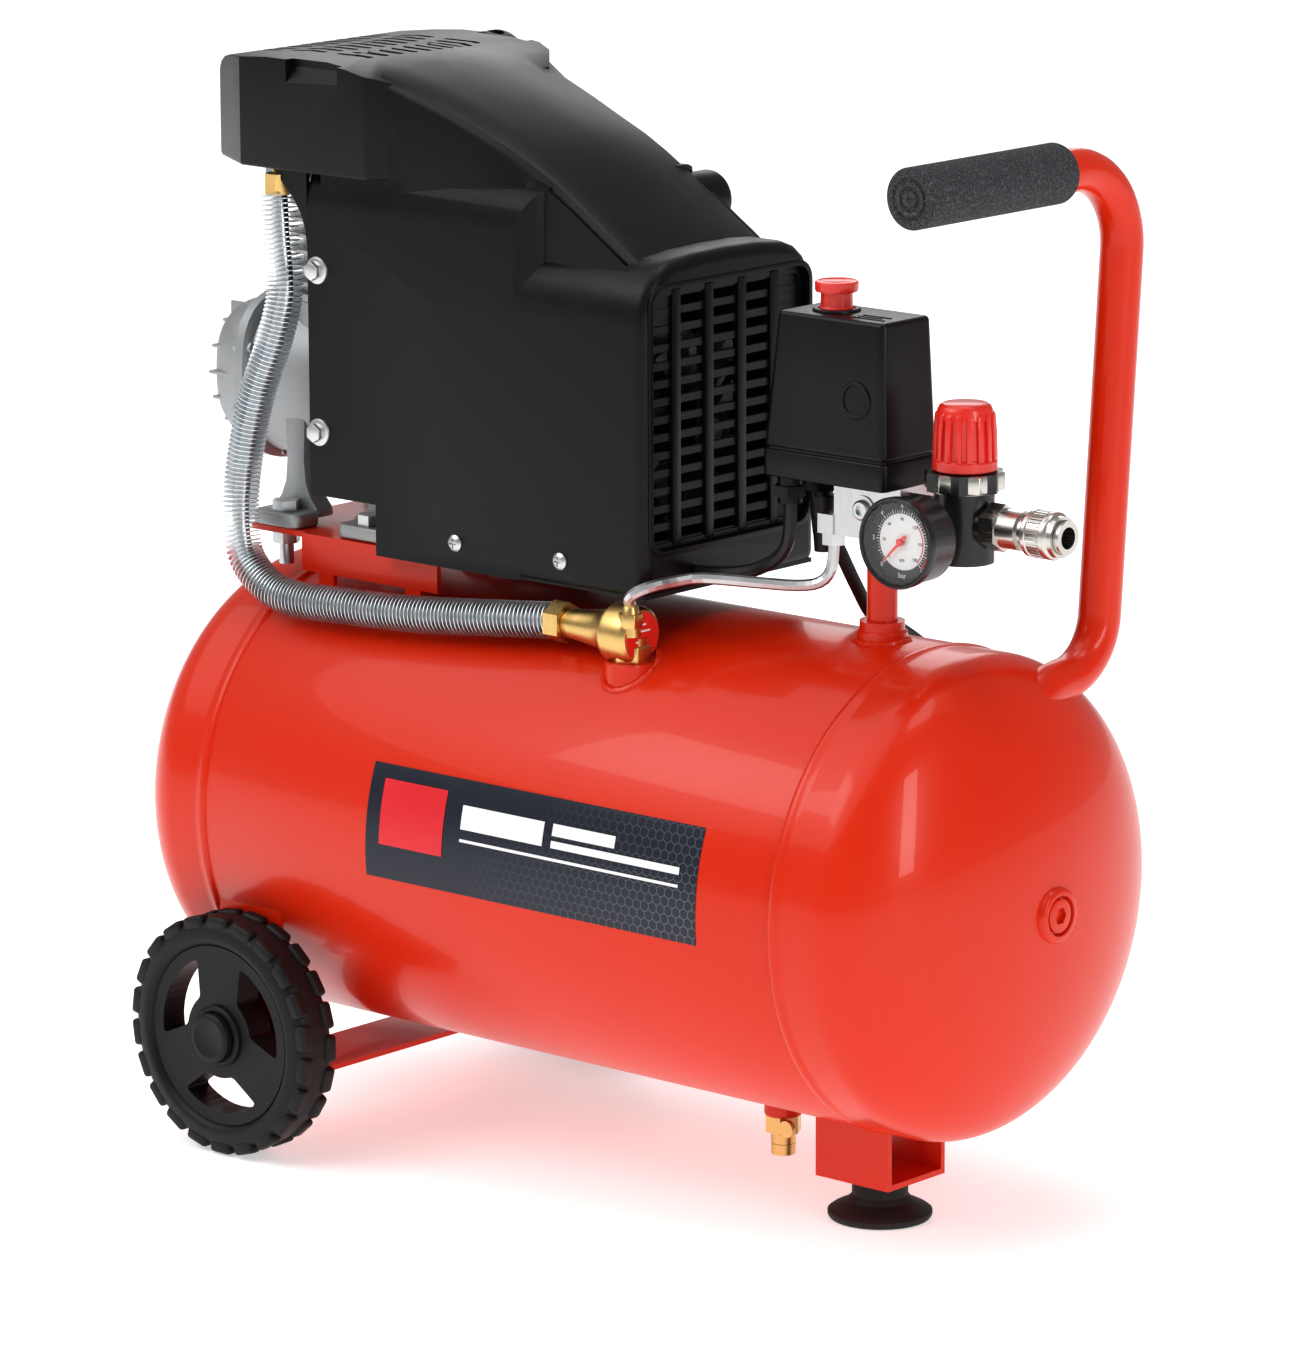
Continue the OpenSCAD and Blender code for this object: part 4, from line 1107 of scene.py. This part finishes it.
def makeRegulator():
    x, y = regulator["x"], regulator["y"]
    knob = lathe([(398.5, 0.01), (398.5, 15.6), (399.2, 16.3), (403.4, 16.3), (404.4, 15.4), (405, 14.6),
                  (424, 13.6), (425, 14.2), (429, 13.8), (431, 12.8), (432, 11.2), (432, 0.01)], "z", (x, y, 0), 96)
    ribs = []
    for i in range(regulator["ribs"]):
        rib = extruded([(x + 12.6, 404), (x + 16.2, 404), (x + 15.8, 418), (x + 15, 427), (x + 13.6, 428.4),
                        (x + 12.6, 428.4)], "y", y - 1.5, y + 1.5)
        ribs.append(turnMesh(soften(rib, 0.5, 2), "Z", math.tau * i / regulator["ribs"], (x, y, 0)))
    hand(join([knob] + ribs), "pressure_knob_cap", "pressure_knob", buttonRed,
         "regulator_knob")
    nut = hexagon("z", 388.9, 397.9, 35.4, (x, y))
    washer = lathe([(388.2, 14), (388.2, 17.4), (389, 17.4), (389, 14)], "z", (x, y, 0), 64)
    hand(join([nut, washer]), "regulator_nut", "frame", nickel)


def makeSwitch():
    base = extruded(roundedRectangle(111, 191, -31, 13, 4, 6), "z", 385.2, 399.3)
    soften(base, 1.2, 3, 50)
    low = roundedRectangle(111.4, 190.6, -30.6, 12.6, 4, 6)
    high = roundedRectangle(119.6, 189.2, -29.4, 8.8, 4, 6)
    rings = []
    for share in (0, 0.04, 0.5, 1):
        rings.append([(a[0] + (b[0] - a[0]) * share, a[1] + (b[1] - a[1]) * share, 400 + 70 * share)
                      for a, b in zip(low, high)])
    cover = loft(rings)
    soften(cover, 2.4, 4, 60)
    cut(cover, [rod("z", 461, 480, switch["well"], switch["button"], 64)])
    seam = extruded(roundedRectangle(112.6, 189.6, -29.6, 11.6, 3.4, 6), "z", 399, 400.5)
    collar = lathe([(469.4, 9.4), (469.4, 12.4), (470.8, 12.2), (471.4, 11.4), (471.4, 9.6), (469.4, 9.4)], "z",
                   (*switch["button"], 0), 64)
    bars = [soften(block(x0, x1, y0, y1, 469.6, 470.5), 0.25, 1) for x0, x1, y0, y1 in (
        (163, 183, -22, -20.6), (163, 178, -18, -16.6), (163, 181, -14, -12.6))]
    rim = lathe([(-30.5, 7.6), (-30.9, 8), (-30.9, 9), (-30.5, 9.4)], "y", (172, 0, 430), 48)
    hand(join([base, cover, seam, collar, rim] + bars), "switch_housing", "frame", switchPlastic,
         "switch_base", "switch_cover")
    button = lathe([(470.3, 0.01), (470.3, 8.8), (471.6, 8.8), (472.4, 8.2), (479.2, 8), (479.8, 10.6), (480.8, 11),
                    (484.2, 11), (485, 10.4), (485.2, 9), (484.7, 8.2), (484.7, 0.01)], "z",
                   (*switch["button"], 0), 72)
    hand(button, "button_cap", "on_off_button", buttonRed, "switch_button")
    screw = lathe([(-12.8, 0.01), (-12.8, 5.4), (-15.2, 5.2), (-16, 4.2), (-16, 2.6), (-14.4, 2.4), (-14.4, 0.01)],
                  "y", (163, 0, 371), 48)
    ring = lathe([(-12.9, 5.2), (-12.9, 7.4), (-13.8, 7.4), (-13.8, 5.2)], "y", (163, 0, 371), 48)
    hand(join([screw, ring]), "manifold_screw", "frame", zincPlate)


def makeCoupler():
    sleeve = lathe([(267.1, 10.6), (267.1, 11.3), (268, 12), (270, 12), (270.6, 11.4), (278.4, 11.4), (279, 12),
                    (281.6, 12), (282.6, 11.4), (283.2, 10.6), (285.9, 10.4), (285.9, 8.7), (267.1, 8.7),
                    (267.1, 10.6)], "x", coupler["axis"], 72)
    ribs = []
    for i in range(coupler["ribs"]):
        rib = soften(block(270.8, 278.2, -8.45, -7.55, 382.9, 383.95), 0.2, 1)
        ribs.append(turnMesh(rib, "X", math.tau * i / coupler["ribs"], coupler["axis"]))
    hand(join([sleeve] + ribs), "coupler_sleeve_turned", "sleeve", nickel,
         "coupler_sleeve")


makeRegulator()
makeSwitch()
makeCoupler()
print("controls ready")


# Grip: foam with rounded ends and moulded rings on its free end

grip = {
    "x": 240,
    "z": 542.2,
    "radius": 15.4,
}


def makeGrip():
    r = grip["radius"]
    outline = [(-71.6, 0.01), (-71.6, 1.6), (-72.4, 2.2), (-72.4, 4), (-71.4, 4.6), (-71.4, 6), (-72.4, 6.6),
               (-72.4, 8.4), (-71.4, 9), (-71.4, 10.2), (-72.4, 10.8), (-72.8, 12), (-72.2, 14), (-70.6, r),
               (-40, r), (41, r), (42.6, r - 0.6), (43, r - 1.8), (43, 11.2)]
    hand(lathe(outline, "y", (grip["x"], 0, grip["z"]), 96), "foam_grip", "frame", gripFoam, "handle_grip")


handle = {
    "x": 240,
    "radius": 11,
    "lean": 4.7,
    "lower": (50, 316, 32),
    "upper": (55, 500.2, 42),
}


def makeHandle():
    x, lean = handle["x"], handle["lean"]
    points = [place(x, y, z) for y, z in ((18, 274), (30, 279), (40, 282.6))]
    for (cy, cz, radius), first, last in ((handle["lower"], -90, -lean), (handle["upper"], -lean, 90)):
        for i in range(19):
            a = math.radians(first + (last - first) * i / 18)
            points.append(place(x, cy + radius * math.cos(a), cz + radius * math.sin(a)))
    points += [place(x, y, grip["z"]) for y in (20, -20, -69)]
    tube = tubeAlong(points, handle["radius"], 40, 1, "VECTOR")
    hand(tube, "handle_bar", "frame", enamel, "handle_tube", smooth=40)


makeHandle()
makeGrip()
print("grip ready")


# Check valve: turned brass body and cap with a red disc, and the nut of the unloader tube

valve = {
    "y": -66,
    "z": 301,
}


def makeValve():
    axis = (0, valve["y"], valve["z"])
    body = lathe([(12.2, 0.01), (12.2, 7.4), (14, 8), (22, 8.4), (34, 10), (41, 11.6), (42.6, 12.8), (43, 14.2),
                  (44.4, 15.2), (46, 15.4), (58, 15.2), (60.2, 14.6), (61.6, 13.2), (61.6, 0.01)], "x", axis, 72)
    stem = hexagon("z", 286.8, 296, 19, (54, valve["y"]))
    neck = lathe([(284, 0.01), (284, 8.8), (300, 8.8), (300, 0.01)], "z", (54, valve["y"], 0), 48)
    branch = lathe([(302, 0.01), (302, 5.4), (309, 5), (309, 0.01)], "z", (60, -73, 0), 40)
    nut = hexagon("z", 306.4, 314, 11, (60, -73))
    tip = lathe([(313.6, 0.01), (313.6, 4.8), (317, 4), (318, 3.2), (318, 0.01)], "z", (60, -73, 0), 40)
    hand(join([body, stem, neck, branch, nut, tip]), "valve_body", "frame", brass, "check_valve")
    disc = lathe([(61.4, 0.01), (61.4, 12.4), (62, 12.2), (62.1, 0.01)], "x", axis, 48)
    hand(disc, "valve_label", "frame", buttonRed)
    dashes = []
    for y, z, half in ((-68, 307, 4.4), (-66, 303.6, 5.6), (-67, 298.4, 4.2), (-65, 295, 5)):
        dashes.append(block(62, 62.25, y - half, y + half, z - 0.45, z + 0.45))
    hand(join(dashes), "valve_dashes", "frame", dialWhite)


makeValve()
print("valve ready")


# Pump: ribbed end cover, flange, crankcase with its legs, and the shroud's screws

pump = {
    "height": 396,
    "feet": (-207, -144),
    "footY": 48,
}


def ringOf(x, radius, square, turn=0.0, steps=48):
    # a closed ring across X that leans from round towards square
    points = []
    for i in range(steps):
        a = math.tau * i / steps + turn
        c, n = math.cos(a), math.sin(a)
        r = radius / (abs(c) ** square + abs(n) ** square) ** (1 / square)
        points.append((x, r * c, pump["height"] + r * n))
    return points


def makePump():
    cover = loft([ringOf(-246.4, 41, 2.8), ringOf(-252, 40.4, 2.8), ringOf(-266, 37.6, 2.8),
                  ringOf(-270.6, 35, 2.7), ringOf(-272.6, 31, 2.6), ringOf(-273, 26, 2.5)])
    ribs = []
    for z in (-27, -14, 0, 14, 27):
        half = math.sqrt(38 * 38 - z * z) + 1.4
        rib = block(-272.2, -247, -half, half, pump["height"] + z - 0.9, pump["height"] + z + 0.9)
        ribs.append(soften(rib, 0.5, 2))
    for y in (-20, 20):
        rib = block(-273, -247, y - 0.9, y + 0.9, pump["height"] - 36.6, pump["height"] + 36.6)
        ribs.append(soften(rib, 0.5, 2))
    hand(join([cover] + ribs), "ribbed_cover", "frame", castMetal, "end_cover")
    flange = loft([ringOf(-246.2, 45.6, 2.9), ringOf(-245.4, 46.6, 2.9), ringOf(-239.6, 46.8, 2.9),
                   ringOf(-238.2, 45.4, 2.8), ringOf(-236, 43, 2.5)])
    body = loft([ringOf(-240, 44, 2.5), ringOf(-228, 43.6, 2.4), ringOf(-190, 43, 2.2), ringOf(-132, 42.6, 2.1),
                 ringOf(-128.4, 40.4, 2.1)])
    neck = lathe([(424, 0.01), (424, 33.4), (430, 33), (439.6, 32), (439.6, 0.01)], "z", (-200, 0, 0), 72)
    parts = [flange, body, neck]
    for i in range(8):
        a = math.tau * (i + 0.5) / 8
        boss = rod("x", -249.6, -236, 3.6, (44.4 * math.cos(a), pump["height"] + 44.4 * math.sin(a)), 6)
        parts.append(soften(boss, 0.6, 2))
    for x in pump["feet"]:
        for side in (-1, 1):
            y = side * pump["footY"]
            pad = extruded(roundedRectangle(x - 17, x + 17, y - 10, y + 10, 5, 5), "z", 322.2, 329.9)
            parts.append(soften(pad, 1.4, 3))
            leg = extruded([(x - 16.4, 326), (x - 15.4, 331), (x - 11, 336), (x - 7.6, 344), (x - 6.4, 356),
                            (x - 7.6, 384), (x + 7.6, 384), (x + 6.4, 356), (x + 7.6, 344), (x + 11, 336),
                            (x + 15.4, 331), (x + 16.4, 326)], "y", side * 28, side * 40.6)
            parts.append(soften(clean(leg), 1.2, 2, 40))
            gusset = extruded([(side * 29, 326), (side * 41.4, 326), (side * 40.6, 338), (side * 38, 352),
                               (side * 37, 384), (side * 29, 384)], "x", x - 2.2, x + 2.2)
            parts.append(soften(clean(gusset), 0.6, 2))
    hand(join(parts), "pump_casting", "frame", castMetal, "crankcase", smooth=42)


def hexScrew(x, z, side):
    y = side * 68
    washer = lathe([(y, 0.01), (y, 7.4), (y + side * 0.9, 7.2), (y + side * 1.6, 5.6), (y + side * 1.6, 0.01)],
                   "y", (x, 0, z), 40)
    low, high = sorted((y + side * 1.2, y + side * 5.4))
    return [washer, soften(rod("y", low, high, 5.2, (x, z), 6), 0.6, 2)]


def crossScrew(x, z, side):
    y = side * 68
    head = lathe([(y, 0.01), (y, 4.6), (y + side * 1, 4.5), (y + side * 2, 3.4), (y + side * 2.5, 1.8),
                  (y + side * 2.6, 0.01)], "y", (x, 0, z), 40)
    low, high = sorted((y + side * 1.2, y + side * 3))
    cut(head, [block(x - 2.5, x + 2.5, low, high, z - 0.5, z + 0.5)])
    cut(head, [block(x - 0.5, x + 0.5, low, high, z - 2.5, z + 2.5)])
    return [head]


def makeScrews():
    parts = []
    for side in (-1, 1):
        parts += hexScrew(-162, 380, side) + hexScrew(-162, 466, side)
        parts += crossScrew(-65, 333, side) + crossScrew(8, 333, side)
    hand(join(parts), "cover_screws", "frame", zincPlate, "shroud_screws")


def makeFilter():
    # the housing of the air filter, with a mouth in its upper side
    x, low, high, r = -178, 533, 555, 21
    outline = []
    for middle, first in ((high, 0), (low, 180)):
        for i in range(25):
            a = math.radians(first + 180 * i / 24)
            outline.append((x + r * math.cos(a), middle + r * math.sin(a)))
    housing = clean(extruded(outline, "y", 75.4, 96))
    soften(housing, 4.5, 4, 50)
    cut(housing, [rod("z", 566, 590, 4.6, (x + 3, 86), 32)])
    cap = lathe([(95.4, 0.01), (95.4, 15.6), (97.8, 15), (99, 13.4), (99, 0.01)], "y", (x, 0, low + 3), 64)
    hand(join([housing, cap]), "filter_housing", "frame", shroudPlastic, "air_filter")


makePump()
makeScrews()
makeFilter()
print("pump ready")


# The CAD nodes that stay, and the finish of each slot

finishes = {
    "tank_paint": enamel, "cast_aluminium": castMetal, "shroud_plastic": shroudPlastic,
    "switch_plastic": switchPlastic, "wheel_plastic": wheelPlastic, "foot_rubber": footRubber,
    "grip_foam": gripFoam, "zinc_steel": zincPlate, "finned_metal": finMetal, "nickel": nickel,
    "brass": brass, "machined_steel": machinedSteel, "button_red": buttonRed,
    "regulator_black": regulatorBlack, "dial_face": dialWhite, "lens": gaugeWindow,
    "cable_sheath": cableSheath,
}


def dressNodes():
    for part in frame["record"]["subparts"]:
        piece = frame["nodes"][part["node"]]
        piece.data.materials.clear()
        piece.data.materials.append(finishes[part["material_slot"]].material)


dressNodes()
